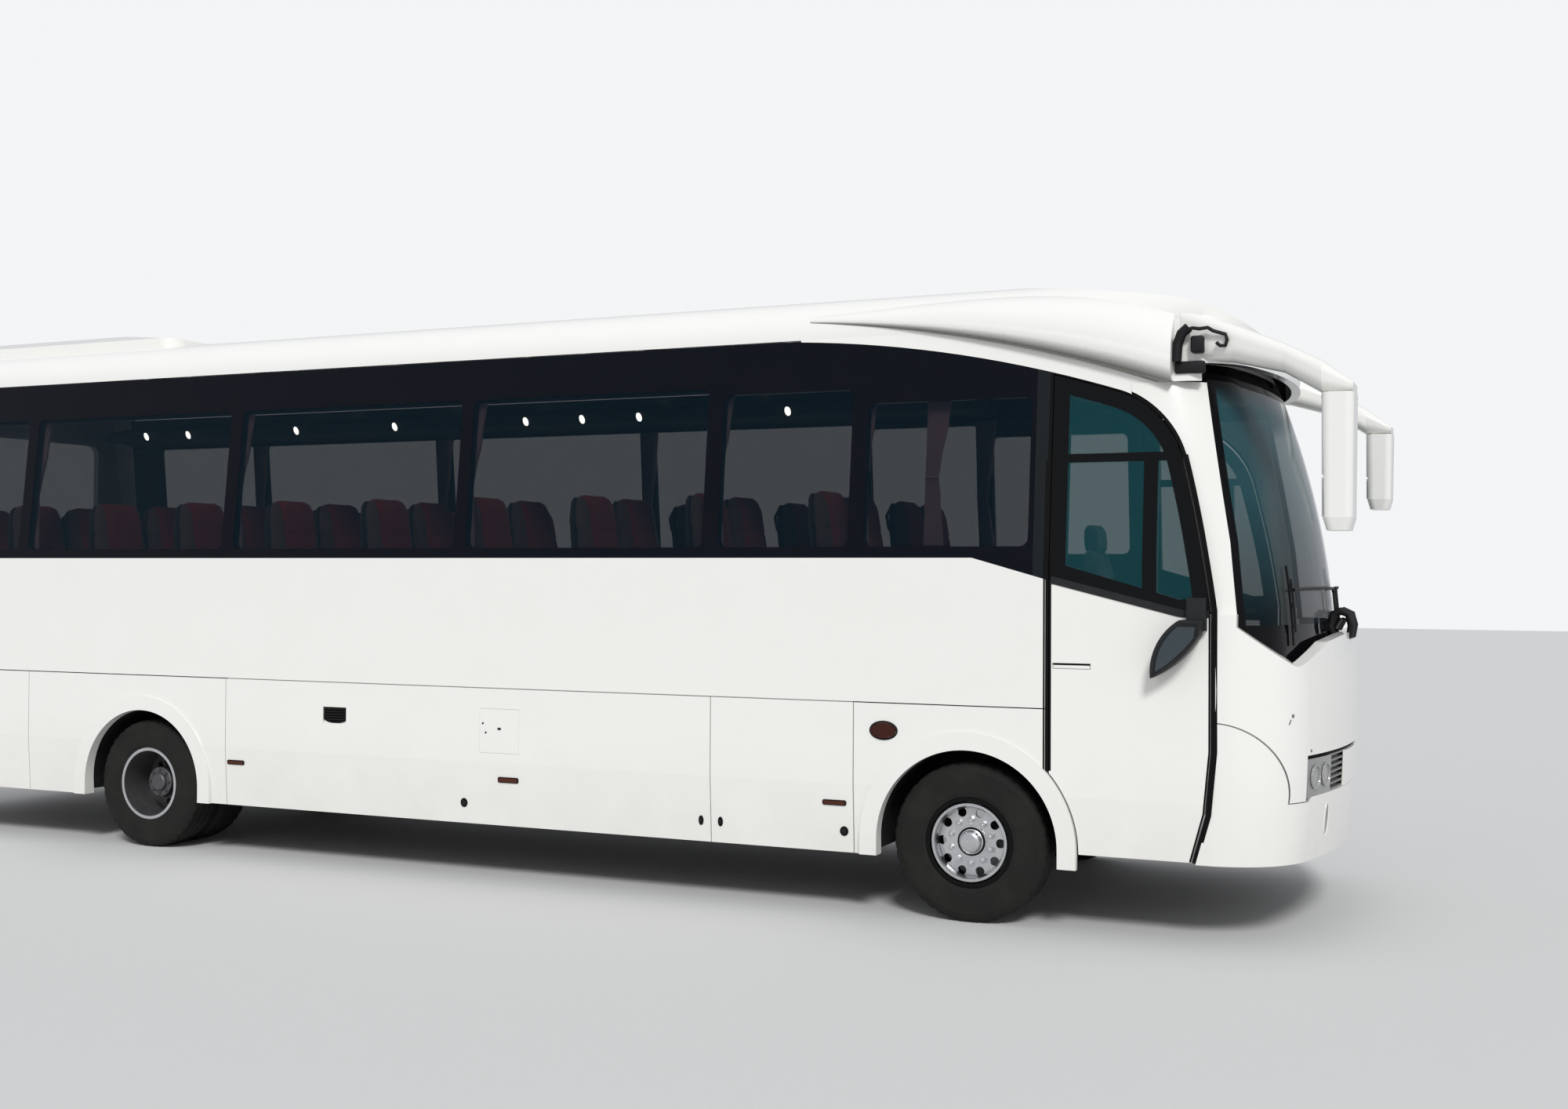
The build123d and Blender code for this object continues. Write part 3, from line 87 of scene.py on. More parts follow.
# Two distances from the middle as ordered places on one side
def sideSpan(side, near, far):
    return sorted((side * near, side * far))


def ringAngles(count):
    return [2 * math.pi * k / count for k in range(count)]


# Adds a small part to a piece's shape
def pour(shape, part, matrix=None, finish=0):
    for face in part.faces:
        face.material_index = finish
    if matrix:
        part.transform(matrix)
    spare = bpy.data.meshes.new("spare")
    part.to_mesh(spare)
    part.free()
    shape.from_mesh(spare)
    bpy.data.meshes.remove(spare)


def addPiece(name, shape, finishes, body="coach", sharp=35):
    mesh = bpy.data.meshes.new(name)
    bmesh.ops.recalc_face_normals(shape, faces=shape.faces)
    shape.to_mesh(mesh)
    shape.free()
    for finish in finishes if isinstance(finishes, list) else [finishes]:
        mesh.materials.append(finish)
    mesh.shade_smooth()
    mesh.set_sharp_from_angle(angle=math.radians(sharp))
    made = bpy.data.objects.new(name, mesh)
    scene.collection.objects.link(made)
    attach(made, body)
    return made


def boxPart(low, high, soft=0.004, steps=2):
    part = bmesh.new()
    bmesh.ops.create_cube(part, size=1.0)
    size = [abs(b - a) for a, b in zip(low, high)]
    middle = [(a + b) / 2 for a, b in zip(low, high)]
    part.transform(Matrix.Translation(middle) @ Matrix.Diagonal((*size, 1)))
    if soft:
        rounding = min(soft, 0.4 * min(size))
        bmesh.ops.bevel(part, geom=part.edges[:], offset=rounding, segments=steps, profile=0.5,
                        affect="EDGES", clamp_overlap=True)
    return part


# Faces between two closed rings with the same number of points
def bandFaces(part, here, there):
    size = len(here)
    return [part.faces.new((here[k], here[(k + 1) % size], there[(k + 1) % size], there[k]))
            for k in range(size)]


# Skins a run of rings: closed into a loop, or with a cap at each end
def skinRings(part, rings, closed=False):
    size = len(rings)
    for i in range(size if closed else size - 1):
        bandFaces(part, rings[i], rings[(i + 1) % size])
    if not closed:
        part.faces.new(rings[0])
        part.faces.new(rings[-1])


def acrossPoint(along, radius, angle):
    return (radius * math.sin(angle), along, radius * math.cos(angle))


# Turns a profile of (along, radius) points about the Y axis
def spinPart(profile, segments=48, closed=False, change=None):
    part = bmesh.new()
    rows = []
    for step in range(segments):
        angle = 2 * math.pi * step / segments
        row = []
        for index, (along, radius) in enumerate(profile):
            less = change(step, index) if change else 0.0
            row.append(part.verts.new(acrossPoint(along, radius - less, angle)))
        rows.append(row)
    size = len(profile)
    for step in range(segments):
        here, there = rows[step], rows[(step + 1) % segments]
        for k in range(size if closed else size - 1):
            part.faces.new((here[k], there[k], there[(k + 1) % size], here[(k + 1) % size]))
    bmesh.ops.remove_doubles(part, verts=part.verts, dist=1e-6)
    return part


def tubePart(points, radius, sides=8, closed=False):
    part = bmesh.new()
    path = [Vector(point) for point in points]
    size = len(path)
    normal = None
    rows = []
    for i, place in enumerate(path):
        before = path[i - 1] if closed or i else place
        after = path[(i + 1) % size] if closed or i < size - 1 else place
        run = (after - before).normalized()
        if normal is None:
            normal = run.orthogonal().normalized()
        normal = (normal - normal.dot(run) * run).normalized()
        other = run.cross(normal)
        rows.append([part.verts.new(place + radius * (math.cos(a) * normal + math.sin(a) * other))
                     for a in ringAngles(sides)])
    skinRings(part, rows, closed)
    return part


# A strip that follows a line of (x, z) points on the body's side; near and far are depths under the paint
def sideRibbon(path, side, width, near, far, closed=False):
    part = bmesh.new()
    size = len(path)
    rows = []
    for i, (x, z) in enumerate(path):
        before = path[i - 1] if closed or i else path[i]
        after = path[(i + 1) % size] if closed or i < size - 1 else path[i]
        length = math.hypot(after[0] - before[0], after[1] - before[1])
        nx = (before[1] - after[1]) / length * width / 2
        nz = (after[0] - before[0]) / length * width / 2
        outer, inner = (x + nx, z + nz), (x - nx, z - nz)
        corners = ((*outer, near), (*inner, near), (*inner, far), (*outer, far))
        rows.append([part.verts.new((cx, side * (sideY(cz) - depth), cz)) for cx, cz, depth in corners])
    skinRings(part, rows, closed)
    return part


# A plate drawn as (x, z) points on the body's side, from a depth under the paint to a height over it
def sidePlate(outline, side, proud, under):
    part = bmesh.new()
    front = [part.verts.new((x, side * (sideY(z) + proud), z)) for x, z in outline]
    back = [part.verts.new((x, side * (sideY(z) - under), z)) for x, z in outline]
    part.faces.new(front)
    part.faces.new(back)
    bandFaces(part, front, back)
    return part


def oval(x, z, halfX, halfZ, count=24):
    return [(x + halfX * math.cos(a), z + halfZ * math.sin(a)) for a in ringAngles(count)]


def roundRect(x, z, width, height, radius, steps=4):
    points = []
    for sx, sz, start in ((1, 1, 0), (-1, 1, 90), (-1, -1, 180), (1, -1, 270)):
        for k in range(steps + 1):
            a = math.radians(start + 90 * k / steps)
            points.append((x + sx * (width / 2 - radius) + radius * math.cos(a),
                           z + sz * (height / 2 - radius) + radius * math.sin(a)))
    return points


# Points on the arc that runs through three (x, z) points
def arcThrough(a, b, c, steps):
    d = 2 * (a[0] * (b[1] - c[1]) + b[0] * (c[1] - a[1]) + c[0] * (a[1] - b[1]))
    sa, sb, sc = (p[0] ** 2 + p[1] ** 2 for p in (a, b, c))
    mx = (sa * (b[1] - c[1]) + sb * (c[1] - a[1]) + sc * (a[1] - b[1])) / d
    mz = (sa * (c[0] - b[0]) + sb * (a[0] - c[0]) + sc * (b[0] - a[0])) / d
    radius = math.hypot(a[0] - mx, a[1] - mz)
    first, through, last = (math.atan2(p[1] - mz, p[0] - mx) for p in (a, b, c))
    sweep = (last - first) % (2 * math.pi)
    if (through - first) % (2 * math.pi) > sweep:
        sweep -= 2 * math.pi
    turns = [first + sweep * k / steps for k in range(steps + 1)]
    return [(mx + radius * math.cos(a), mz + radius * math.sin(a)) for a in turns]


# Small helpers for shader trees
def put(tree, kind, place=(0, 0), **values):
    node = tree.nodes.new(kind)
    node.location = place
    for name, value in values.items():
        setattr(node, name, value)
    return node


def join(tree, output, target):
    tree.links.new(output, target)


def setInputs(node, values):
    for name, value in values.items():
        node.inputs[name].default_value = value


def colour(r, g, b):
    return (r, g, b, 1.0)


def newGroup(name, inputs, outputs):
    group = bpy.data.node_groups.new(name, "ShaderNodeTree")
    for label, kind, value in inputs:
        socket = group.interface.new_socket(name=label, in_out="INPUT", socket_type=kind)
        socket.default_value = value
    for label, kind in outputs:
        group.interface.new_socket(name=label, in_out="OUTPUT", socket_type=kind)
    start = put(group, "NodeGroupInput", (-900, 0))
    end = put(group, "NodeGroupOutput", (700, 0))
    return group, start, end


def mixColour(tree, factor, low, high, place=(0, 0), blend="MIX"):
    mix = put(tree, "ShaderNodeMix", place, data_type="RGBA", blend_type=blend)
    for socket, value in ((mix.inputs[0], factor), (mix.inputs[6], low), (mix.inputs[7], high)):
        if isinstance(value, (tuple, float, int)):
            socket.default_value = value
        else:
            join(tree, value, socket)
    return mix.outputs[2]


def sums(tree, operation, first, second=0.0, place=(0, 0), clamp=False):
    node = put(tree, "ShaderNodeMath", place, operation=operation, use_clamp=clamp)
    for socket, value in ((node.inputs[0], first), (node.inputs[1], second)):
        if isinstance(value, (float, int)):
            socket.default_value = value
        else:
            join(tree, value, socket)
    return node.outputs[0]


def ramp(tree, value, low, high, place=(0, 0)):
    node = put(tree, "ShaderNodeMapRange", place, clamp=True)
    setInputs(node, {"From Min": low, "From Max": high})
    join(tree, value, node.inputs["Value"])
    return node.outputs["Result"]


# The object's own coordinates, and the same split into X, Y and Z
def objectPlace(tree, x, y):
    spot = put(tree, "ShaderNodeTexCoord", (x, y))
    split = put(tree, "ShaderNodeSeparateXYZ", (x + 200, y))
    join(tree, spot.outputs["Object"], split.inputs[0])
    return spot, split


# Road film: dust that thickens towards the skirt, with a fine orange peel
filmGroup, filmIn, filmOut = newGroup(
    "roadFilm",
    [
        ("Base", "NodeSocketColor", colour(0.8, 0.8, 0.78)),
        ("Dust", "NodeSocketColor", colour(0.42, 0.39, 0.34)),
        ("Dust Top", "NodeSocketFloat", 0.9),
        ("Amount", "NodeSocketFloat", 0.35),
        ("Gloss", "NodeSocketFloat", 0.2),
    ],
    [("Colour", "NodeSocketColor"), ("Roughness", "NodeSocketFloat"), ("Height", "NodeSocketFloat")],
)
spot, heights = objectPlace(filmGroup, -900, 300)
clouds = put(filmGroup, "ShaderNodeTexNoise", (-700, 100))
setInputs(clouds, {"Scale": 3.5, "Detail": 6.0, "Roughness": 0.62})
join(filmGroup, spot.outputs["Object"], clouds.inputs["Vector"])
peel = put(filmGroup, "ShaderNodeTexNoise", (-700, -150))
setInputs(peel, {"Scale": 140.0, "Detail": 1.0})
join(filmGroup, spot.outputs["Object"], peel.inputs["Vector"])
low = sums(filmGroup, "DIVIDE", heights.outputs[2], filmIn.outputs["Dust Top"], (-500, 300))
low = sums(filmGroup, "SUBTRACT", 1.0, low, (-350, 300), True)
low = sums(filmGroup, "MULTIPLY", low, clouds.outputs["Fac"], (-200, 250))
low = sums(filmGroup, "MULTIPLY", low, filmIn.outputs["Amount"], (-50, 250), True)
drift = ramp(filmGroup, clouds.outputs["Fac"], 0.3, 0.75, (-450, 0))
faint = sums(filmGroup, "MULTIPLY", drift, 0.035, (-300, 0))
dirty = sums(filmGroup, "ADD", low, faint, (100, 200), True)
join(filmGroup, mixColour(filmGroup, dirty, filmIn.outputs["Base"], filmIn.outputs["Dust"], (300, 200)),
     filmOut.inputs["Colour"])
dull = sums(filmGroup, "MULTIPLY", dirty, 0.6, (300, -50))
join(filmGroup, sums(filmGroup, "ADD", dull, filmIn.outputs["Gloss"], (450, -50), True),
     filmOut.inputs["Roughness"])
join(filmGroup, peel.outputs["Fac"], filmOut.inputs["Height"])

# Which side of a wall a face is on: 1 where it looks into the coach; the second output is painted shade on
# roof faces that look downwards
insideGroup, insideIn, insideOut = newGroup("looksInside", [("Roof", "NodeSocketFloat", 0.0)],
                                            [("Mask", "NodeSocketFloat"), ("Painted Shade", "NodeSocketFloat")])
spot, where = objectPlace(insideGroup, -900, 300)
facing = put(insideGroup, "ShaderNodeNewGeometry", (-900, 0))
normal = put(insideGroup, "ShaderNodeSeparateXYZ", (-700, 0))
join(insideGroup, facing.outputs["True Normal"], normal.inputs[0])
side = sums(insideGroup, "SIGN", where.outputs[1], 0.0, (-500, 200))
inward = sums(insideGroup, "MULTIPLY", side, normal.outputs[1], (-350, 200))
inward = sums(insideGroup, "LESS_THAN", inward, -0.3, (-200, 200))
down = sums(insideGroup, "LESS_THAN", normal.outputs[2], -0.35, (-350, 0))
down = sums(insideGroup, "MULTIPLY", down, insideIn.outputs["Roof"], (-200, 0))
reach = sums(insideGroup, "ABSOLUTE", where.outputs[1], 0.0, (-500, -200))
lean = sums(insideGroup, "MULTIPLY", where.outputs[2], sideLean, (-500, -350))
reach = sums(insideGroup, "ADD", reach, lean, (-350, -200))
within = sums(insideGroup, "LESS_THAN", reach, halfWidth + sideLean * sideKnee - 0.02, (-200, -200))
seen = sums(insideGroup, "MAXIMUM", inward, down, (0, 100))
join(insideGroup, sums(insideGroup, "MULTIPLY", seen, within, (150, 100)), insideOut.inputs["Mask"])
# Painted shade: darker the more a roof face looks downwards
soft = put(insideGroup, "ShaderNodeSeparateXYZ", (-700, -400))
join(insideGroup, facing.outputs["Normal"], soft.inputs[0])
under = ramp(insideGroup, soft.outputs[2], -0.25, -0.85, (-350, -400))
under = sums(insideGroup, "MULTIPLY", under, insideIn.outputs["Roof"], (-200, -400))
join(insideGroup, under, insideOut.inputs["Painted Shade"])

# 1 above a sloping line seen from the side, and above its lowest height
lineGroup, lineIn, lineOut = newGroup(
    "aboveLine",
    [
        ("Start X", "NodeSocketFloat", 0.0),
        ("Start Z", "NodeSocketFloat", 1.0),
        ("Slope", "NodeSocketFloat", 0.0),
        ("Lowest", "NodeSocketFloat", 0.0),
    ],
    [("Mask", "NodeSocketFloat")],
)
spot, where = objectPlace(lineGroup, -900, 300)
along = sums(lineGroup, "SUBTRACT", where.outputs[0], lineIn.outputs["Start X"], (-500, 300))
line = sums(lineGroup, "MULTIPLY", along, lineIn.outputs["Slope"], (-350, 300))
line = sums(lineGroup, "ADD", line, lineIn.outputs["Start Z"], (-200, 300))
line = sums(lineGroup, "MAXIMUM", line, lineIn.outputs["Lowest"], (-50, 300))
join(lineGroup, sums(lineGroup, "GREATER_THAN", where.outputs[2], line, (150, 300)), lineOut.inputs["Mask"])

# Black border printed on the windscreen: side edges, foot and head
borderPlan = {
    "edge": ((1.578, 1.382), (2.000, 1.340), (2.330, 1.285), (2.905, 1.189)),
    "width": 0.034,
    "footZ": 1.585,
    "headZ": 2.80,
}
borderGroup, borderIn, borderOut = newGroup(
    "screenBorder",
    [("Width", "NodeSocketFloat", borderPlan["width"])],
    [("Mask", "NodeSocketFloat")],
)
spot, where = objectPlace(borderGroup, -1100, 300)
edgeX = sums(borderGroup, "ADD", borderIn.outputs["Width"], ahead(borderPlan["edge"][0][1]), (-700, 500))
for (lowZ, lowX), (highZ, highX) in zip(borderPlan["edge"], borderPlan["edge"][1:]):
    stretch = put(borderGroup, "ShaderNodeMapRange", (-700, 200), clamp=True)
    setInputs(stretch, {"From Min": lowZ, "From Max": highZ, "To Min": 0.0, "To Max": highX - lowX})
    join(borderGroup, where.outputs[2], stretch.inputs["Value"])
    edgeX = sums(borderGroup, "ADD", edgeX, stretch.outputs["Result"], (-400, 300))
border = sums(borderGroup, "LESS_THAN", where.outputs[0], edgeX, (-200, 300))
foot = sums(borderGroup, "LESS_THAN", where.outputs[2], borderPlan["footZ"], (-200, 150))
head = ramp(borderGroup, where.outputs[2], borderPlan["headZ"] - 0.12, borderPlan["headZ"], (-200, 0))
border = sums(borderGroup, "MAXIMUM", border, foot, (0, 250))
join(borderGroup, sums(borderGroup, "MAXIMUM", border, head, (200, 200)), borderOut.inputs["Mask"])

# Woven cloth: fine crossed threads with a soft change of shade
clothGroup, clothIn, clothOut = newGroup(
    "wovenCloth",
    [
        ("Light", "NodeSocketColor", colour(0.5, 0.1, 0.1)),
        ("Dark", "NodeSocketColor", colour(0.2, 0.03, 0.04)),
        ("Scale", "NodeSocketFloat", 900.0),
    ],
    [("Colour", "NodeSocketColor"), ("Height", "NodeSocketFloat")],
)
spot = put(clothGroup, "ShaderNodeTexCoord", (-900, 300))
warp = put(clothGroup, "ShaderNodeTexWave", (-600, 300), bands_direction="Z")
weft = put(clothGroup, "ShaderNodeTexWave", (-600, 50), bands_direction="Y")
for thread in (warp, weft):
    join(clothGroup, spot.outputs["Object"], thread.inputs["Vector"])
    join(clothGroup, clothIn.outputs["Scale"], thread.inputs["Scale"])
    setInputs(thread, {"Distortion": 1.2, "Detail": 1.0})
weave = sums(clothGroup, "MULTIPLY", warp.outputs["Fac"], weft.outputs["Fac"], (-400, 200))
fade = put(clothGroup, "ShaderNodeTexNoise", (-600, -200))
setInputs(fade, {"Scale": 9.0, "Detail": 5.0})
join(clothGroup, spot.outputs["Object"], fade.inputs["Vector"])
shade = sums(clothGroup, "MULTIPLY", weave, 0.45, (-200, 200))
shade = sums(clothGroup, "ADD", shade, sums(clothGroup, "MULTIPLY", fade.outputs["Fac"], 0.6, (-200, -100)),
             (0, 100), True)
join(clothGroup, mixColour(clothGroup, shade, clothIn.outputs["Dark"], clothIn.outputs["Light"], (200, 200)),
     clothOut.inputs["Colour"])
join(clothGroup, weave, clothOut.inputs["Height"])

# Grain of moulded plastic, cast metal or rubber
grainGroup, grainIn, grainOut = newGroup(
    "fineGrain",
    [
        ("Base", "NodeSocketColor", colour(0.05, 0.05, 0.05)),
        ("Worn", "NodeSocketColor", colour(0.15, 0.15, 0.15)),
        ("Scale", "NodeSocketFloat", 300.0),
        ("Gloss", "NodeSocketFloat", 0.45),
    ],
    [("Colour", "NodeSocketColor"), ("Roughness", "NodeSocketFloat"), ("Height", "NodeSocketFloat")],
)
spot = put(grainGroup, "ShaderNodeTexCoord", (-900, 300))
grain = put(grainGroup, "ShaderNodeTexNoise", (-600, 200))
setInputs(grain, {"Detail": 3.0})
join(grainGroup, spot.outputs["Object"], grain.inputs["Vector"])
join(grainGroup, grainIn.outputs["Scale"], grain.inputs["Scale"])
patch = put(grainGroup, "ShaderNodeTexNoise", (-600, -100))
setInputs(patch, {"Scale": 6.0, "Detail": 7.0, "Roughness": 0.7})
join(grainGroup, spot.outputs["Object"], patch.inputs["Vector"])
worn = ramp(grainGroup, patch.outputs["Fac"], 0.45, 0.8, (-400, -100))
worn = sums(grainGroup, "MULTIPLY", worn, 0.5, (-200, 0))
join(grainGroup, mixColour(grainGroup, worn, grainIn.outputs["Base"], grainIn.outputs["Worn"], (0, 100)),
     grainOut.inputs["Colour"])
rough = sums(grainGroup, "MULTIPLY", patch.outputs["Fac"], 0.25, (-200, -200))
join(grainGroup, sums(grainGroup, "ADD", rough, grainIn.outputs["Gloss"], (0, -200), True),
     grainOut.inputs["Roughness"])
join(grainGroup, grain.outputs["Fac"], grainOut.inputs["Height"])
print("shader groups built")


def newMaterial(name, **shaderValues):
    material = bpy.data.materials.new(name)
    material.use_nodes = True
    tree = material.node_tree
    shader = tree.nodes["Principled BSDF"]
    setInputs(shader, shaderValues)
    return material, tree, shader


def addGroup(tree, group, values, place=(-500, 200)):
    node = put(tree, "ShaderNodeGroup", place)
    node.node_tree = group
    setInputs(node, values)
    return node


def addBump(tree, shader, height, strength, distance):
    bump = put(tree, "ShaderNodeBump", (-250, -250))
    setInputs(bump, {"Strength": strength, "Distance": distance})
    join(tree, height, bump.inputs["Height"])
    join(tree, bump.outputs["Normal"], shader.inputs["Normal"])


# lining is the colour of faces that look into the coach; dark is (colour, the inputs of its sloping line);
# roof also turns on painted shade where faces look downwards
def paintMaterial(name, base, gloss, dust=0.35, dustTop=0.9, lining=None, roof=0.0, dark=None,
                  coat=0.5, shine=0.5):
    material, tree, shader = newMaterial(name, **{"Coat Weight": coat, "Coat Roughness": 0.06,
                                                  "Specular IOR Level": shine})
    film = addGroup(tree, filmGroup, {"Base": base, "Amount": dust, "Dust Top": dustTop, "Gloss": gloss})
    if coat == 0.0:
        setInputs(film, {"Dust": colour(0.030, 0.031, 0.032)})
    surface = film.outputs["Colour"]
    if dark:
        line = addGroup(tree, lineGroup, dark[1], (-500, 450))
        surface = mixColour(tree, line.outputs["Mask"], surface, dark[0], (-250, 450))
    if lining:
        inside = addGroup(tree, insideGroup, {"Roof": roof}, (-500, -150))
        # Roof and dome faces that look downwards take painted shade
        surface = mixColour(tree, inside.outputs["Painted Shade"], surface, paintedUnderShade, (-350, 350))
        surface = mixColour(tree, inside.outputs["Mask"], surface, lining, (-250, 250))
    join(tree, surface, shader.inputs["Base Color"])
    join(tree, film.outputs["Roughness"], shader.inputs["Roughness"])
    addBump(tree, shader, film.outputs["Height"], 0.04, 0.001)
    return material


def grainMaterial(name, base, worn, scale=300.0, gloss=0.45, bump=0.25, **extra):
    material, tree, shader = newMaterial(name, **extra)
    skin = addGroup(tree, grainGroup, {"Base": base, "Worn": worn, "Scale": scale, "Gloss": gloss})
    join(tree, skin.outputs["Colour"], shader.inputs["Base Color"])
    join(tree, skin.outputs["Roughness"], shader.inputs["Roughness"])
    addBump(tree, shader, skin.outputs["Height"], bump, 0.0015)
    return material


def clothMaterial(name, light, dark, scale=900.0):
    material, tree, shader = newMaterial(name, **{"Roughness": 0.95, "Sheen Weight": 0.35,
                                                  "Sheen Roughness": 0.5})
    weave = addGroup(tree, clothGroup, {"Light": light, "Dark": dark, "Scale": scale})
    join(tree, weave.outputs["Colour"], shader.inputs["Base Color"])
    addBump(tree, shader, weave.outputs["Height"], 0.3, 0.001)
    return material


printBlack = colour(0.004, 0.004, 0.005)
paintedFootShade = colour(0.004, 0.012, 0.016)


# Tinted glass; where edged is set it has a printed black border and darkens towards its foot with painted
# shade
def glassMaterial(name, tint, alpha, edged=False):
    material, tree, shader = newMaterial(name, **{"Base Color": tint, "Roughness": 0.03, "Alpha": alpha,
                                                  "Specular IOR Level": 0.12})
    if edged:
        border = addGroup(tree, borderGroup, {}, (-700, 300))
        place, height = objectPlace(tree, -1300, 600)
        # Painted shade: the tint darkens towards the screen's foot
        rise = ramp(tree, height.outputs[2], 1.62, 2.25, (-900, 600))
        fade = mixColour(tree, rise, paintedFootShade, tint, (-600, 500))
        fade = mixColour(tree, border.outputs["Mask"], fade, printBlack, (-300, 400))
        join(tree, fade, shader.inputs["Base Color"])
        cover = sums(tree, "MULTIPLY", border.outputs["Mask"], 1.0 - alpha, (-400, 100))
        join(tree, sums(tree, "ADD", cover, alpha, (-250, 100)), shader.inputs["Alpha"])
    smear = put(tree, "ShaderNodeTexNoise", (-700, -200))
    setInputs(smear, {"Scale": 2.2, "Detail": 4.0})
    spot = put(tree, "ShaderNodeTexCoord", (-900, -200))
    join(tree, spot.outputs["Object"], smear.inputs["Vector"])
    join(tree, ramp(tree, smear.outputs["Fac"], 0.2, 12.0, (-450, -200)), shader.inputs["Roughness"])
    material.surface_render_method = "BLENDED"
    return material


# bands are (height, colour) pairs for a lens with more than one colour
def lampMaterial(name, base, glow, ribs=60.0, strength=0.0, bands=(), coat=0.7):
    material, tree, shader = newMaterial(name, **{"Base Color": base, "Roughness": 0.12, "Coat Weight": coat,
                                                  "Specular IOR Level": 0.2 + 0.4 * coat,
                                                  "Emission Color": glow, "Emission Strength": strength})
    spot = put(tree, "ShaderNodeTexCoord", (-900, -200))
    rib = put(tree, "ShaderNodeTexWave", (-650, -200), bands_direction="Z")
    setInputs(rib, {"Scale": ribs})
    join(tree, spot.outputs["Object"], rib.inputs["Vector"])
    addBump(tree, shader, rib.outputs["Fac"], 0.3, 0.002)
    surface = base
    for height, shade in bands:
        line = addGroup(tree, lineGroup, {"Start Z": height}, (-700, 300))
        surface = mixColour(tree, line.outputs["Mask"], surface, shade, (-300, 300))
    if bands:
        join(tree, surface, shader.inputs["Base Color"])
    return material


liningGrey = colour(0.020, 0.028, 0.036)
# Painted shade for the undersides of the roof and the dome's wings
paintedUnderShade = colour(0.10, 0.098, 0.085)
warmWhite = colour(0.82, 0.815, 0.775)
doorLine = {"Start X": ahead(0.471), "Start Z": 1.805, "Slope": -0.2575, "Lowest": 1.641}
pillarLine = {"Start X": ahead(0.36), "Start Z": 1.0, "Slope": -1000.0}
bodyWhite = paintMaterial("bodyWhite", warmWhite, 0.16)
linedWhite = paintMaterial("linedWhite", warmWhite, 0.16, lining=liningGrey)
doorWhite = paintMaterial("doorWhite", warmWhite, 0.16, lining=liningGrey,
                          dark=(colour(0.0015, 0.0018, 0.0022), doorLine), coat=0.04, shine=0.16)
roofWhite = paintMaterial("roofWhite", colour(0.83, 0.825, 0.79), 0.18, dustTop=0.5,
                          lining=colour(0.05, 0.05, 0.055), roof=1.0)
# The band is black, with its base tinted navy as a painted reflection of blue sky
bandBlack = paintMaterial("bandBlack", colour(0.0005, 0.0016, 0.0050), 0.08, 0.02, lining=liningGrey,
                          dark=(colour(0.010, 0.013, 0.015), pillarLine), coat=0.0, shine=0.14)
pillarGrey = grainMaterial("pillarGrey", colour(0.014, 0.015, 0.016), colour(0.03, 0.03, 0.03), 200, 0.35,
                           **{"Specular IOR Level": 0.25})
sideGlass = glassMaterial("sideGlass", colour(0.001, 0.008, 0.015), 0.52)
doorGlass = glassMaterial("doorGlass", colour(0.010, 0.070, 0.082), 0.40)
screenGlass = glassMaterial("screenGlass", colour(0.030, 0.100, 0.120), 0.46, edged=True)
# The kerb mirror's face: a dark bluish colour as a painted reflection, in place of a mirror
mirrorPaintedReflection = grainMaterial("mirrorPaintedReflection", colour(0.028, 0.042, 0.050), colour(0.04, 0.05, 0.06), 60, 0.06,
                           0.05)
mirrorGlass = grainMaterial("mirrorGlass", colour(0.75, 0.78, 0.80), colour(0.7, 0.72, 0.74), 40, 0.02, 0.0,
                            Metallic=1.0)
grilleGrey = grainMaterial("grilleGrey", colour(0.17, 0.17, 0.165), colour(0.24, 0.24, 0.23), 400, 0.3)
clearLamp = lampMaterial("clearLamp", colour(0.19, 0.19, 0.185), colour(1, 1, 1))
redLamp = lampMaterial("redLamp", colour(0.45, 0.012, 0.010), colour(1, 0.05, 0.03))
tailLens = lampMaterial("tailLens", colour(0.45, 0.012, 0.010), colour(1, 0.05, 0.03), bands=(
    (0.90, colour(0.55, 0.56, 0.57)), (1.00, colour(0.45, 0.012, 0.010)), (1.14, colour(0.50, 0.13, 0.015)),
))
amberLamp = lampMaterial("amberLamp", colour(0.045, 0.011, 0.006), colour(1, 0.4, 0.05), 90, coat=0.0)
brownLamp = lampMaterial("brownLamp", colour(0.07, 0.020, 0.010), colour(1, 0.4, 0.05), 90, coat=0.0)
lampGlass = lampMaterial("lampGlass", colour(0.30, 0.30, 0.295), colour(1, 1, 1), 120)
roundLamp = lampMaterial("roundLamp", colour(0.8, 0.8, 0.76), colour(1, 0.97, 0.9), 200, 6.0)
# frameSteel and underGrey are near black: their own dark finish, darkened further as painted shade under the
# coach and in the wheel houses
frameSteel = grainMaterial("frameSteel", colour(0.02, 0.02, 0.022), colour(0.10, 0.07, 0.05), 120, 0.5)
underGrey = grainMaterial("underGrey", colour(0.010, 0.010, 0.011), colour(0.04, 0.036, 0.03), 60, 0.6,
                          **{"Specular IOR Level": 0.15})
floorGrey = grainMaterial("floorGrey", colour(0.12, 0.12, 0.125), colour(0.2, 0.19, 0.18), 500, 0.5)
castIron = grainMaterial("castIron", colour(0.07, 0.07, 0.075), colour(0.13, 0.1, 0.08), 90, 0.55, 0.5)
seatMaroon = clothMaterial("seatMaroon", colour(0.68, 0.075, 0.085), colour(0.40, 0.036, 0.046))
seatTaupe = clothMaterial("seatTaupe", colour(0.30, 0.20, 0.16), colour(0.15, 0.095, 0.080))
driverCloth = clothMaterial("driverCloth", colour(0.045, 0.045, 0.05), colour(0.015, 0.015, 0.018))
seatShellGrey = grainMaterial("seatShellGrey", colour(0.085, 0.072, 0.066), colour(0.12, 0.10, 0.09),
                              400, 0.5)
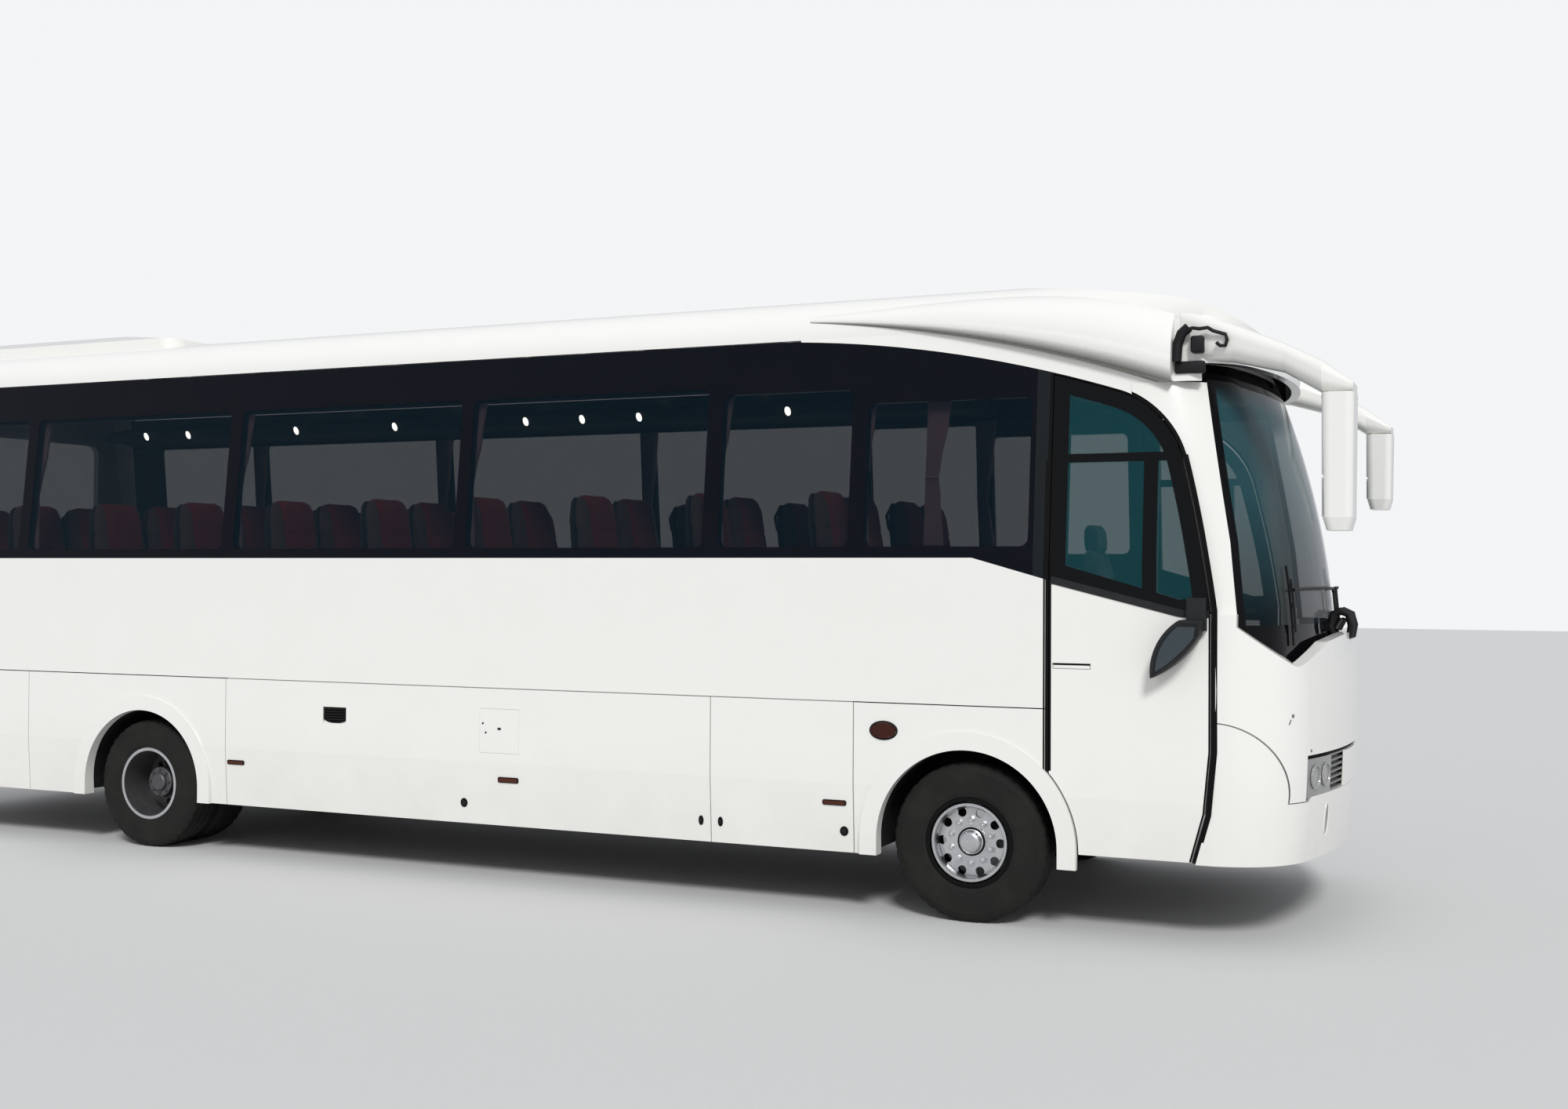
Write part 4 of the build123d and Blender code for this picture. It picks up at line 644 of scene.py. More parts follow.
curtainPink = clothMaterial("curtainPink", colour(0.86, 0.58, 0.64), colour(0.60, 0.38, 0.44), 700)
rackGrey = grainMaterial("rackGrey", colour(0.030, 0.034, 0.040), colour(0.02, 0.02, 0.022), 500, 0.5)
dashBlack = grainMaterial("dashBlack", colour(0.025, 0.025, 0.027), colour(0.05, 0.05, 0.05), 700, 0.55)
trimBlack = grainMaterial("trimBlack", colour(0.006, 0.006, 0.007), colour(0.022, 0.022, 0.022), 500, 0.38,
                          **{"Specular IOR Level": 0.25})
sealRubber = grainMaterial("sealRubber", colour(0.003, 0.003, 0.003), colour(0.008, 0.008, 0.008), 350, 0.6,
                           **{"Specular IOR Level": 0.12})
tyreBlack = grainMaterial("tyreBlack", colour(0.010, 0.010, 0.009), colour(0.032, 0.030, 0.026), 260, 0.68,
                          **{"Specular IOR Level": 0.25})
rimMetal = (colour(0.62, 0.63, 0.64), colour(0.35, 0.34, 0.33), 90, 0.16, 0.1)
polishedRim = grainMaterial("polishedRim", *rimMetal, Metallic=1.0)
dullRim = grainMaterial("dullRim", colour(0.10, 0.10, 0.105), colour(0.2, 0.19, 0.18), 90, 0.35, 0.2,
                        Metallic=0.6)

# The front rims are bright inside this radius and dark outside it
brightRadius = 0.209
darkEdgeRim = grainMaterial("darkEdgeRim", *rimMetal, Metallic=1.0)
rimTree = darkEdgeRim.node_tree
rimShader = rimTree.nodes["Principled BSDF"]
spot, where = objectPlace(rimTree, -1100, 500)
runX = sums(rimTree, "SUBTRACT", where.outputs[0], frontAxleX, (-700, 600))
runZ = sums(rimTree, "SUBTRACT", where.outputs[2], axleZ, (-700, 400))
runX = sums(rimTree, "MULTIPLY", runX, runX, (-550, 600))
runZ = sums(rimTree, "MULTIPLY", runZ, runZ, (-550, 400))
spread = sums(rimTree, "SQRT", sums(rimTree, "ADD", runX, runZ, (-400, 500)), 0.0, (-250, 500))
edge = sums(rimTree, "GREATER_THAN", spread, brightRadius, (-100, 500))
plain = rimShader.inputs["Base Color"].links[0].from_socket
join(rimTree, mixColour(rimTree, edge, plain, colour(0.012, 0.012, 0.012), (0, 400)),
     rimShader.inputs["Base Color"])
print("materials built")

# Each finish and the CAD nodes that it covers
nodeFinishes = (
    (bodyWhite, ("lower_panels", "front_mask", "front_bumper", "rear_wall", "rear_bumper", "engine_lid",
                 "roof_pod", "roof_hatches", "mirrors", "luggage_door_right_rear", "luggage_door_right_front",
                 "luggage_door_left_rear", "luggage_door_left_front")),
    (linedWhite, ("side_panels",)),
    (roofWhite, ("roof", "front_dome")),
    (doorWhite, ("driver_door", "passenger_door")),
    (bandBlack, ("window_frames",)),
    (sideGlass, ("body_glass",)),
    (doorGlass, ("driver_door_glass",)),
    (screenGlass, ("windscreen",)),
    (pillarGrey, ("kerb_mirror",)),
    (grilleGrey, ("grille",)),
    (clearLamp, ("headlamps",)),
    (tailLens, ("tail_lamps",)),
    (amberLamp, ("side_lamps",)),
    (frameSteel, ("chassis_rails", "cross_members", "front_axle", "rear_axle", "knuckle_right",
                  "knuckle_left")),
    (underGrey, ("luggage_bay", "wheel_houses")),
    (castIron, ("engine",)),
    (darkEdgeRim, ("wheel_front_right", "wheel_front_left")),
    (dullRim, ("wheels_rear_right", "wheels_rear_left")),
    (tyreBlack, ("tyre_front_right", "tyre_front_left", "tyres_rear_right", "tyres_rear_left")),
    (floorGrey, ("saloon_floor", "cab_floor", "entrance_steps")),
    (seatMaroon, ("seats", "driver_seat")),
    (curtainPink, ("curtains",)),
    (rackGrey, ("luggage_racks",)),
    (dashBlack, ("dashboard", "steering_wheel")),
)
for finish, names in nodeFinishes:
    for name in names:
        mesh = nodes[name].data
        mesh.materials.clear()
        mesh.materials.append(finish)
print("CAD nodes finished")

# Tyres: half of the section from the bead to the middle, as (along the axle, radius)
treadPlan = {
    "half": (
        (0.1060, 0.2270), (0.1060, 0.2375), (0.1105, 0.2410), (0.1145, 0.2580), (0.1168, 0.2600),
        (0.1165, 0.2640), (0.1190, 0.2900), (0.1200, 0.3210), (0.1195, 0.3500), (0.1172, 0.3700),
        (0.1180, 0.3730), (0.1150, 0.3800), (0.1120, 0.3950), (0.1070, 0.4080), (0.0980, 0.4165),
        (0.0850, 0.4195), (0.0785, 0.4203), (0.0770, 0.4090), (0.0710, 0.4090), (0.0700, 0.4208),
        (0.0295, 0.4210), (0.0285, 0.4090), (0.0230, 0.4090), (0.0220, 0.4210),
    ),
    "segments": 160,
    "lugRows": (13, 14, 15),
    "lugPitch": 4,
    "lugDepth": 0.006,
    "sipeRows": (16, 19, 20, 23),
    "sipePitch": 8,
    "sipeDepth": 0.004,
}
tyreProfile = list(treadPlan["half"]) + [(-along, radius) for along, radius in reversed(treadPlan["half"])]


# How far the tread is cut in at one of its steps round the tyre
def lugCut(step, index):
    row = min(index, len(tyreProfile) - 1 - index)
    if row in treadPlan["lugRows"] and step % treadPlan["lugPitch"] == 0:
        return treadPlan["lugDepth"]
    if row in treadPlan["sipeRows"] and step % treadPlan["sipePitch"] == treadPlan["sipePitch"] // 2:
        return treadPlan["sipeDepth"]
    return 0.0


def addTyres(name, node, body, axleX, places):
    shape = bmesh.new()
    for y in places:
        turn = Matrix.Translation((axleX, y, axleZ))
        pour(shape, spinPart(tyreProfile, treadPlan["segments"], True, lugCut), turn)
    made = addPiece(name, shape, tyreBlack, body, sharp=28)
    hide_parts(node)


twinPitch = 0.275
for word, side in bothSides():
    addTyres("treaded_tyre_front_" + word, "tyre_front_" + word, "front_wheel_" + word, frontAxleX,
             [side * wheelY])
    addTyres("treaded_tyres_rear_" + word, "tyres_rear_" + word, "rear_wheels_" + word, rearAxleX,
             [side * wheelY, side * (wheelY - twinPitch)])

# Hubs: nuts in a ring, a domed cap and a ring on the rim's edge, with along outwards from the wheel's middle
hubPlan = {
    "front": {"nuts": 10, "ring": 0.112, "from": 0.065, "nut": 0.0155, "tall": 0.024},
    "rear": {"nuts": 10, "ring": 0.135, "from": -0.127, "nut": 0.0155, "tall": 0.026},
    "frontCap": ((0.0655, 0.066), (0.0720, 0.066), (0.0760, 0.060), (0.0960, 0.057), (0.1040, 0.050),
                 (0.1080, 0.034), (0.1095, 0.0)),
    "capRing": ((0.0660, 0.0760), (0.0700, 0.0755), (0.0705, 0.0660)),
    "rearCap": ((-0.0100, 0.098), (0.0100, 0.098), (0.0130, 0.094), (0.0130, 0.062), (0.0300, 0.058),
                (0.0360, 0.050), (0.0370, 0.0)),
    "rearBolts": {"nuts": 8, "ring": 0.079, "from": 0.011, "nut": 0.0095, "tall": 0.011},
    "lip": ((0.1000, 0.2125), (0.1110, 0.2060), (0.1130, 0.2000), (0.1120, 0.1920), (0.0920, 0.1830),
            (0.0720, 0.1790)),
    "rimRing": ((0.1105, 0.2165), (0.1135, 0.2175), (0.1150, 0.2230), (0.1150, 0.2330), (0.1135, 0.2372),
                (0.1110, 0.2375)),
}


# Hexagonal nuts standing on a ring round the axle, each with a round stud end
def nutRing(shape, plan, place, side):
    for k in range(plan["nuts"]):
        angle = 2 * math.pi * k / plan["nuts"]
        centre = Matrix.Translation((plan["ring"] * math.sin(angle), 0, plan["ring"] * math.cos(angle)))
        low, high = plan["from"], plan["from"] + plan["tall"]
        size = plan["nut"]
        hexagon = [(low, size), (high - 0.002, size), (high, 0.85 * size), (high, 0.0)]
        stud = [(low, 0.5 * size), (high + 0.006, 0.5 * size), (high + 0.007, 0.4 * size),
                (high + 0.007, 0.0)]
        for profile, corners in ((hexagon, 6), (stud, 12)):
            pour(shape, rounds(profile, side, corners), place @ centre)


# A profile turned about the axle, facing outwards on its side of the coach
def rounds(profile, side, segments=64):
    return spinPart([(side * along, radius) for along, radius in profile], segments)


for word, side in bothSides():
    place = Matrix.Translation((frontAxleX, side * wheelY, axleZ))
    shape = bmesh.new()
    nutRing(shape, hubPlan["front"], place, side)
    pour(shape, rounds(hubPlan["frontCap"], side), place)
    pour(shape, rounds(hubPlan["lip"], side, 96), place)
    pour(shape, rounds(hubPlan["capRing"], side), place, 1)
    pour(shape, rounds(hubPlan["rimRing"], side, 96), place, 1)
    made = addPiece("wheel_nuts_front_" + word, shape, [polishedRim, sealRubber], "front_wheel_" + word)
    place = Matrix.Translation((rearAxleX, side * wheelY, axleZ))
    shape = bmesh.new()
    nutRing(shape, hubPlan["rear"], place, side)
    nutRing(shape, hubPlan["rearBolts"], place, side)
    pour(shape, rounds(hubPlan["rearCap"], side), place)
    pour(shape, rounds(hubPlan["rimRing"], side, 96), place, 1)
    made = addPiece("wheel_nuts_rear_" + word, shape, [dullRim, polishedRim], "rear_wheels_" + word)
print("wheels dressed")

# Door edges: the line midway in the gap round both front doors
doorPlan = {
    "arcs": (
        (ahead(-1.107), 3.125), (ahead(-0.183), 3.024), (ahead(0.800), 2.775), (ahead(1.010), 2.630),
        (ahead(1.130), 2.390), (ahead(1.205), 2.060), (ahead(1.272), 1.655),
    ),
    "front": ((ahead(1.272), 0.960), (ahead(1.243), 0.651), (ahead(1.175), 0.407)),
    "rearX": ahead(0.436),
    "rearFootZ": 0.83,
    "sealWidth": 0.0175,
    "step": 0.030,
    "sealShift": 0.0026,
    "sealDepth": (0.0012, 0.042),
    "ribbonTopZ": 2.45,
    "ribbonShifts": {"coach": 0.0163, "door": -0.0169},
    "ribbonWidth": 0.0095,
    "ribbonDepth": (-0.0008, 0.003),
}


# The door's edge line, moved outwards from the door by the shift
def doorLinePoints(shift):
    arcs = doorPlan["arcs"]
    upper = (arcThrough(*arcs[0:3], 60) + arcThrough(*arcs[2:5], 12)[1:] + arcThrough(*arcs[4:7], 16)[1:])
    rearX = doorPlan["rearX"]
    upper = [point for point in upper if point[0] > rearX + 0.012]
    path = [(rearX, doorPlan["rearFootZ"]), (rearX, 2.0), (rearX, upper[0][1] + 0.003)] + upper
    path += list(doorPlan["front"])
    fine = []
    for (x, z), (nextX, nextZ) in zip(path, path[1:]):
        steps = max(1, int(math.hypot(nextX - x, nextZ - z) / doorPlan["step"]))
        fine += [(x + (nextX - x) * k / steps, z + (nextZ - z) * k / steps) for k in range(steps)]
    path = fine + [path[-1]]
    moved = []
    for i, (x, z) in enumerate(path):
        before, after = path[max(i - 1, 0)], path[min(i + 1, len(path) - 1)]
        runX, runZ = after[0] - before[0], after[1] - before[1]
        length = math.hypot(runX, runZ)
        moved.append((x - shift * runZ / length, z + shift * runX / length))
    return moved


shape = bmesh.new()
for word, side in bothSides():
    near, far = doorPlan["sealDepth"]
    pour(shape, sideRibbon(doorLinePoints(doorPlan["sealShift"]), side, doorPlan["sealWidth"], near, far))
addPiece("door_seals", shape, sealRubber)
near, far = doorPlan["ribbonDepth"]
for word, side in bothSides():
    for edge, shift in doorPlan["ribbonShifts"].items():
        shape = bmesh.new()
        line = doorLinePoints(shift)
        middle = len(line) // 2
        for run in (line[:middle], line[middle:]):
            low = [point for point in run if point[1] < doorPlan["ribbonTopZ"]]
            pour(shape, sideRibbon(low, side, doorPlan["ribbonWidth"], near, far))
        rider = "driver_door" if (edge, word) == ("door", "right") else "coach"
        addPiece("door_edge_{}_{}".format(edge, word), shape, sealRubber, rider)

# Rubber moulding along the lower edge of the door glass, and the pull inside the handle's slot
trimPlan = {
    "moulding": ((ahead(0.455), 1.806), (ahead(0.480), 1.801), (ahead(1.100), 1.646), (ahead(1.125), 1.642),
                 (ahead(1.252), 1.642)),
    "mouldingWidth": 0.038,
    "mouldingDepth": (-0.0035, 0.003),
    "pullX": (ahead(0.469), ahead(0.657)),
    "pullZ": (1.3535, 1.3715),
    "pullDepth": (0.0003, 0.0115),
    "shadowZ": (1.3715, 1.3815),
    "shadowDepth": (0.0020, 0.0115),
}
for word, side, body in (("right", -1, "driver_door"), ("left", 1, "coach")):
    near, far = trimPlan["mouldingDepth"]
    shape = bmesh.new()
    pour(shape, sideRibbon(trimPlan["moulding"], side, trimPlan["mouldingWidth"], near, far))
    addPiece("door_moulding_" + word, shape, pillarGrey, body)
shape = bmesh.new()
rearX, frontX = trimPlan["pullX"]
# The second box is a black strip over the pull: painted shadow in the handle's slot
for finish, (key, soft) in enumerate((("pull", 0.004), ("shadow", 0.002))):
    near, far = trimPlan[key + "Depth"]
    lowZ, highZ = trimPlan[key + "Z"]
    low, high = (rearX, -halfWidth + near, lowZ), (frontX, -halfWidth + far, highZ)
    pour(shape, boxPart(low, high, soft), None, finish)
addPiece("door_handle_pull", shape, [bodyWhite, sealRubber], "driver_door")

# Black brackets where the mirror arms meet the cap: strap, block, wire loop and foot
bracketPlan = {
    "strap": ((1.078, 2.905), (1.084, 2.990), (1.104, 3.045), (1.140, 3.075)),
    "strapWidth": 0.052,
    "block": ((1.150, 2.945), (1.214, 3.030)),
    "loop": ((1.120, 3.055), (1.160, 3.068), (1.195, 3.062), (1.235, 3.066), (1.262, 3.048), (1.322, 3.028),
             (1.330, 3.000), (1.322, 2.972), (1.296, 2.972), (1.278, 2.990)),
    "foot": ((1.066, 2.846), (1.216, 2.908)),
    "nearY": 1.128,
    "farY": 1.205,
}
for word, side in bothSides():
    shape = bmesh.new()
    near, far = bracketPlan["nearY"], bracketPlan["farY"]
    strap = [(ahead(x), side * (far - 0.02), z) for x, z in bracketPlan["strap"]]
    pour(shape, tubePart(strap, bracketPlan["strapWidth"] / 2, 12))
    for key, outer in (("block", far), ("foot", far - 0.03)):
        (lowX, lowZ), (highX, highZ) = bracketPlan[key]
        ends = sideSpan(side, near, outer)
        pour(shape, boxPart((ahead(lowX), ends[0], lowZ), (ahead(highX), ends[1], highZ), 0.012, 3))
    pour(shape, tubePart([(ahead(x), side * (far - 0.006), z) for x, z in bracketPlan["loop"]], 0.0095, 10))
    addPiece("mirror_bracket_" + word, shape, trimBlack)

# Mirror glasses: flat panes in the recess of each head, and the kerb mirror's convex face
mirrorPlan = {
    "paneX": (ahead(1.7925), ahead(1.7985)),
    "paneY": (1.126, 1.334),
    "paneTopZ": 2.672,
    "splitTall": 0.012,
    "feetZ": {"right": 2.114, "left": 2.314},
    "splitShare": 0.34,
}
for word, side in bothSides():
    shape = bmesh.new()
    footZ, topZ = mirrorPlan["feetZ"][word], mirrorPlan["paneTopZ"]
    splitZ = footZ + mirrorPlan["splitShare"] * (topZ - footZ)
    rearX, frontX = mirrorPlan["paneX"]
    ends = sideSpan(side, *mirrorPlan["paneY"])
    for lowZ, highZ in ((footZ, splitZ), (splitZ + mirrorPlan["splitTall"], topZ)):
        pour(shape, boxPart((rearX, ends[0], lowZ), (frontX, ends[1], highZ), 0.003))
    addPiece("mirror_glass_" + word, shape, mirrorGlass)

kerbPlan = {
    "tip": (ahead(0.998), 1.338),
    "rear": (ahead(1.124), 1.598),
    "rearThrough": (ahead(1.035), 1.490),
    "front": (ahead(1.214), 1.536),
    "frontThrough": (ahead(1.112), 1.424),
    "top": (ahead(1.222), 1.598),
    "faceY": -1.36,
    "rings": ((1.0, 0.004), (1.0, -0.0008), (0.86, -0.0012), (0.60, -0.0014), (0.25, -0.0015)),
}
leaf = (arcThrough(kerbPlan["tip"], kerbPlan["rearThrough"], kerbPlan["rear"], 12) + [kerbPlan["top"]]
        + arcThrough(kerbPlan["front"], kerbPlan["frontThrough"], kerbPlan["tip"], 12)[:-1])
shape = bmesh.new()
midX, midZ = (sum(p[axis] for p in leaf) / len(leaf) for axis in (0, 1))
rings = []
for share, depth in kerbPlan["rings"]:
    y = kerbPlan["faceY"] + depth
    rings.append([shape.verts.new((midX + share * (x - midX), y, midZ + share * (z - midZ)))
                  for x, z in leaf])
for index, (here, there) in enumerate(zip(rings, rings[1:])):
    for face in bandFaces(shape, here, there):
        face.material_index = 1 if index > 1 else 0
shape.faces.new(rings[-1]).material_index = 1
shape.faces.new(rings[0])
addPiece("kerb_mirror_face", shape, [trimBlack, mirrorPaintedReflection], "driver_door")
print("doors and mirrors dressed")

# Fittings on the luggage doors, as plates on the side skin
lockerPlan = {
    "latches": (
        ("luggage_door_{}_rear", -3.145, 0.452, 0.024, 0.027),
        ("luggage_door_{}_rear", -1.551, 0.448, 0.015, 0.027),
        ("luggage_door_{}_front", -1.430, 0.448, 0.015, 0.027),
        ("luggage_door_{}_front", -0.685, 0.444, 0.024, 0.026),
    ),
    "coreShare": 0.6,
    "coreProud": 0.0075,
    "markers": (
        ("coach", -4.900, 0.606, 0.070, 0.015),
        ("luggage_door_{}_rear", -2.828, 0.603, 0.072, 0.017),
        ("luggage_door_{}_front", -0.740, 0.596, 0.070, 0.015),
    ),
    "lensProud": 0.009,
    "proud": 0.004,
    "under": 0.004,
}
proud, under = lockerPlan["proud"], lockerPlan["under"]
for word, side in bothSides():
    latches = {}
    for body, x, z, halfX, halfZ in lockerPlan["latches"]:
        shape = latches.setdefault(body.format(word), bmesh.new())
        share = lockerPlan["coreShare"]
        core = oval(ahead(x), z, share * halfX, share * halfZ)
        pour(shape, sidePlate(oval(ahead(x), z, halfX, halfZ), side, proud, under))
        pour(shape, sidePlate(core, side, lockerPlan["coreProud"], 0.0), None, 1)
    for body, shape in latches.items():
        addPiece("latches_" + body, shape, [sealRubber, trimBlack], body)
    for index, (body, x, z, halfX, halfZ) in enumerate(lockerPlan["markers"]):
        shape = bmesh.new()
        frameLine = roundRect(ahead(x), z, 2 * halfX, 2 * halfZ, 0.011)
        lensLine = roundRect(ahead(x), z, 2 * halfX - 0.014, 2 * halfZ - 0.010, 0.008)
        pour(shape, sidePlate(frameLine, side, proud, under))
        pour(shape, sidePlate(lensLine, side, lockerPlan["lensProud"], 0.0), None, 1)
        addPiece("side_marker_{}_{}".format(word, index), shape, [trimBlack, brownLamp], body.format(word))

# Vent with slats and a rounded foot, and the filler flap's locks, on the right rear locker
ventPlan = {
    "x": (ahead(-4.200), ahead(-4.020)),
    "z": (0.890, 0.990),
    "footR": 0.030,
    "slats": 5,
    "slatTopZ": 0.978,
    "slatPitch": 0.016,
    "slatHalf": 0.0035,
    "slatInset": 0.004,
    "slatDepth": (0.001, 0.012),
    "locks": ((-3.006, 0.934, 0.006), (-2.985, 0.880, 0.006)),
    "catch": (-2.890, 0.905, 0.013, 0.007),
}
lowX, highX = ventPlan["x"]
lowZ, highZ = ventPlan["z"]
footZ, midX = lowZ + ventPlan["footR"], (lowX + highX) / 2
ventLine = [(lowX, highZ), (highX, highZ), (highX, footZ)]
ventLine += [(midX + (highX - lowX) / 2 * math.cos(a), footZ - ventPlan["footR"] * math.sin(a))
             for a in (math.pi * k / 16 for k in range(1, 16))]
ventLine += [(lowX, footZ)]
shape = bmesh.new()
pour(shape, sidePlate(ventLine, -1, -0.009, 0.012))
near, far = ventPlan["slatDepth"]
inset, half = ventPlan["slatInset"], ventPlan["slatHalf"]
for k in range(ventPlan["slats"]):
    z = ventPlan["slatTopZ"] - k * ventPlan["slatPitch"]
    pour(shape, boxPart((lowX + inset, -halfWidth + near, z - half),
                        (highX - inset, -halfWidth + far, z + half), 0.0015), None, 1)
addPiece("side_vent", shape, [sealRubber, trimBlack], "luggage_door_right_rear")
shape = bmesh.new()
for x, z, radius in ventPlan["locks"]:
    pour(shape, sidePlate(oval(ahead(x), z, radius, radius, 16), -1, 0.002, 0.004))
x, z, halfX, halfZ = ventPlan["catch"]
pour(shape, sidePlate(oval(ahead(x), z, halfX, halfZ, 20), -1, 0.003, 0.004))
addPiece("flap_locks", shape, trimBlack, "luggage_door_right_rear")

# Bezels round the side lamps
bezelPlan = {"x": ahead(-0.456), "z": 0.998, "halfX": 0.076, "halfZ": 0.047}
shape = bmesh.new()
for word, side in bothSides():
    ring = oval(bezelPlan["x"], bezelPlan["z"], bezelPlan["halfX"], bezelPlan["halfZ"], 40)
    pour(shape, tubePart([(x, side * (halfWidth + 0.001), z) for x, z in ring], 0.005, 8, True))
addPiece("side_lamp_bezels", shape, trimBlack)
print("side fittings placed")


# A bowed plate on the nose between two places across and two heights, thick from the skin inwards
def bowPlate(levels, ends, heights, proud, thick, across=24, up=6):
    part = bmesh.new()
    layers = []
    for depth in (proud, proud - thick):
        grid = []
        for i in range(across + 1):
            y = ends[0] + (ends[1] - ends[0]) * i / across
            column = []
            for j in range(up + 1):
                z = heights[0] + (heights[1] - heights[0]) * j / up
                column.append(part.verts.new((noseX(levels, y, z) + depth, y, z)))
            grid.append(column)
        layers.append(grid)
    for grid in layers:
        for i in range(across):
            for j in range(up):
                part.faces.new((grid[i][j], grid[i + 1][j], grid[i + 1][j + 1], grid[i][j + 1]))
    front, back = layers
    for i in range(across):
        for j in (0, up):
            part.faces.new((front[i][j], front[i + 1][j], back[i + 1][j], back[i][j]))
    for j in range(up):
        for i in (0, across):
            part.faces.new((front[i][j], front[i][j + 1], back[i][j + 1], back[i][j]))
    return part


noseCornerR = 0.45


# As bowX, with the rounded corners that start beyond the flatter middle
def noseX(levels, y, z):
    side = sideY(z)
    cornerR = noseCornerR
    reach = abs(y)
    bowBack = ahead(frontLine(levels, z)) - frontBow
    cornerY = side - cornerR
    cornerX = bowBack + math.sqrt((frontBow - cornerR) ** 2 - cornerY ** 2)
    slope = cornerY / (cornerX - bowBack)
    if reach <= frontBow * math.sin(math.atan(slope)):
        return bowX(levels, y, z)
    return cornerX + math.sqrt(max(0.0, cornerR ** 2 - (reach - cornerY) ** 2))


facePlan = {
    "slot": {"ends": (-0.944, 0.944), "heights": (0.9165, 0.9355), "proud": -0.016, "thick": 0.03},
    "centre": {"ends": (-0.300, 0.300), "heights": (0.726, 0.912), "proud": -0.002, "thick": 0.014},
    "backing": {"ends": (0.300, 0.600), "heights": (0.735, 0.905), "proud": -0.040, "thick": 0.006},
}
shape = bmesh.new()
pour(shape, bowPlate(noseLevels, **facePlan["slot"]))
addPiece("hood_slot", shape, sealRubber)
shape = bmesh.new()
pour(shape, bowPlate(noseLevels, **facePlan["centre"]))
addPiece("grille_centre", shape, bodyWhite)
shape = bmesh.new()
for word, side in bothSides():
    ends = sideSpan(side, *facePlan["backing"]["ends"])
    pour(shape, bowPlate(noseLevels, **{**facePlan["backing"], "ends": ends}))
addPiece("grille_backing", shape, grilleGrey)

# Two round bowls behind each headlamp's lens, and the fog lamps' bezels
lampPlan = {
    "bowls": ((0.688, 0.821, 0.062), (0.836, 0.821, 0.062)),
    "bowl": ((0.002, 1.00), (0.008, 0.97), (0.009, 0.90), (0.001, 0.84), (0.0005, 0.60), (0.003, 0.30),
             (0.0035, 0.0)),
    "fogY": 0.640,
    "fogZ": 0.585,
    "fogHalf": (0.031, 0.086),
}


# Turns a profile about the nose's own normal at a place on it
def facing(levels, y, z):
    here = Vector((noseX(levels, y, z), y, z))
    along = Vector((noseX(levels, y + 0.004, z), y + 0.004, z)) - here
    up = Vector((noseX(levels, y, z + 0.004), y, z + 0.004)) - here
    normal = along.cross(up).normalized()
    along.normalize()
    turn = Matrix((along, normal, along.cross(normal))).transposed().to_4x4()
    return Matrix.Translation(here) @ turn


shape = bmesh.new()
for word, side in bothSides():
    for y, z, radius in lampPlan["bowls"]:
        profile = [(height - 0.004, radius * share) for height, share in lampPlan["bowl"]]
        pour(shape, spinPart(profile, 40), facing(noseLevels, side * y, z))
addPiece("headlamp_bowls", shape, [lampGlass])
shape = bmesh.new()
for word, side in bothSides():
    ring = []
    halfY, halfZ = lampPlan["fogHalf"]
    for y, z in oval(side * lampPlan["fogY"], lampPlan["fogZ"], halfY, halfZ, 36):
        ring.append((noseX(noseLevels, y, z) - 0.001, y, z))
    pour(shape, tubePart(ring, 0.004, 8, True))
addPiece("fog_lamp_bezels", shape, bodyWhite)

# Wipers: an upright post at the middle, a level arm and an upright blade at each side of the screen
wiperPlan = {
    "stand": 0.035,
    "arm": ((0.060, 1.600), (0.058, 1.745), (0.085, 1.768), (0.300, 1.772), (0.600, 1.770), (0.862, 1.762)),
    "armRadius": 0.0085,
    "bladeY": 0.868,
    "bladeZ": (1.480, 1.885),
    "bladeStand": 0.014,
    "clips": (3, 6, 9),
    "housing": ((1.708, 1.560), (1.722, 1.632), (1.760, 1.646), (1.800, 1.628), (1.815, 1.570),
                (1.806, 1.512), (1.770, 1.500), (1.722, 1.512)),
    "housingY": 0.085,
}
shape = bmesh.new()
for word, side in bothSides():
    arm = [(noseX(screenLevels, side * y, z) + wiperPlan["stand"], side * y, z) for y, z in wiperPlan["arm"]]
    pour(shape, tubePart(arm, wiperPlan["armRadius"], 8))
    lowZ, highZ = wiperPlan["bladeZ"]
    blade = []
    for k in range(13):
        z = lowZ + (highZ - lowZ) * k / 12
        y = side * wiperPlan["bladeY"]
        blade.append((noseX(screenLevels, y, z) + wiperPlan["bladeStand"], y, z))
    pour(shape, tubePart(blade, 0.0065, 6))
    pour(shape, tubePart([(x + wiperPlan["bladeStand"], y, z) for x, y, z in blade[2:-2]], 0.005, 6))
    for k in wiperPlan["clips"]:
        x, y, z = blade[k]
        pour(shape, boxPart((x - 0.004, y - 0.006, z - 0.012), (x + 0.020, y + 0.006, z + 0.012), 0.002))
    housingY = side * wiperPlan["housingY"]
    pour(shape, tubePart([(ahead(x), housingY, z) for x, z in wiperPlan["housing"]], 0.021, 10, True))
    pour(shape, tubePart([(ahead(1.735), housingY, 1.545), (ahead(1.765), side * 0.06, 1.600)], 0.016, 10))
bridge = [(ahead(1.762), y, 1.640) for y in (-wiperPlan["housingY"], wiperPlan["housingY"])]
pour(shape, tubePart(bridge, 0.018, 10))
addPiece("wipers", shape, trimBlack)

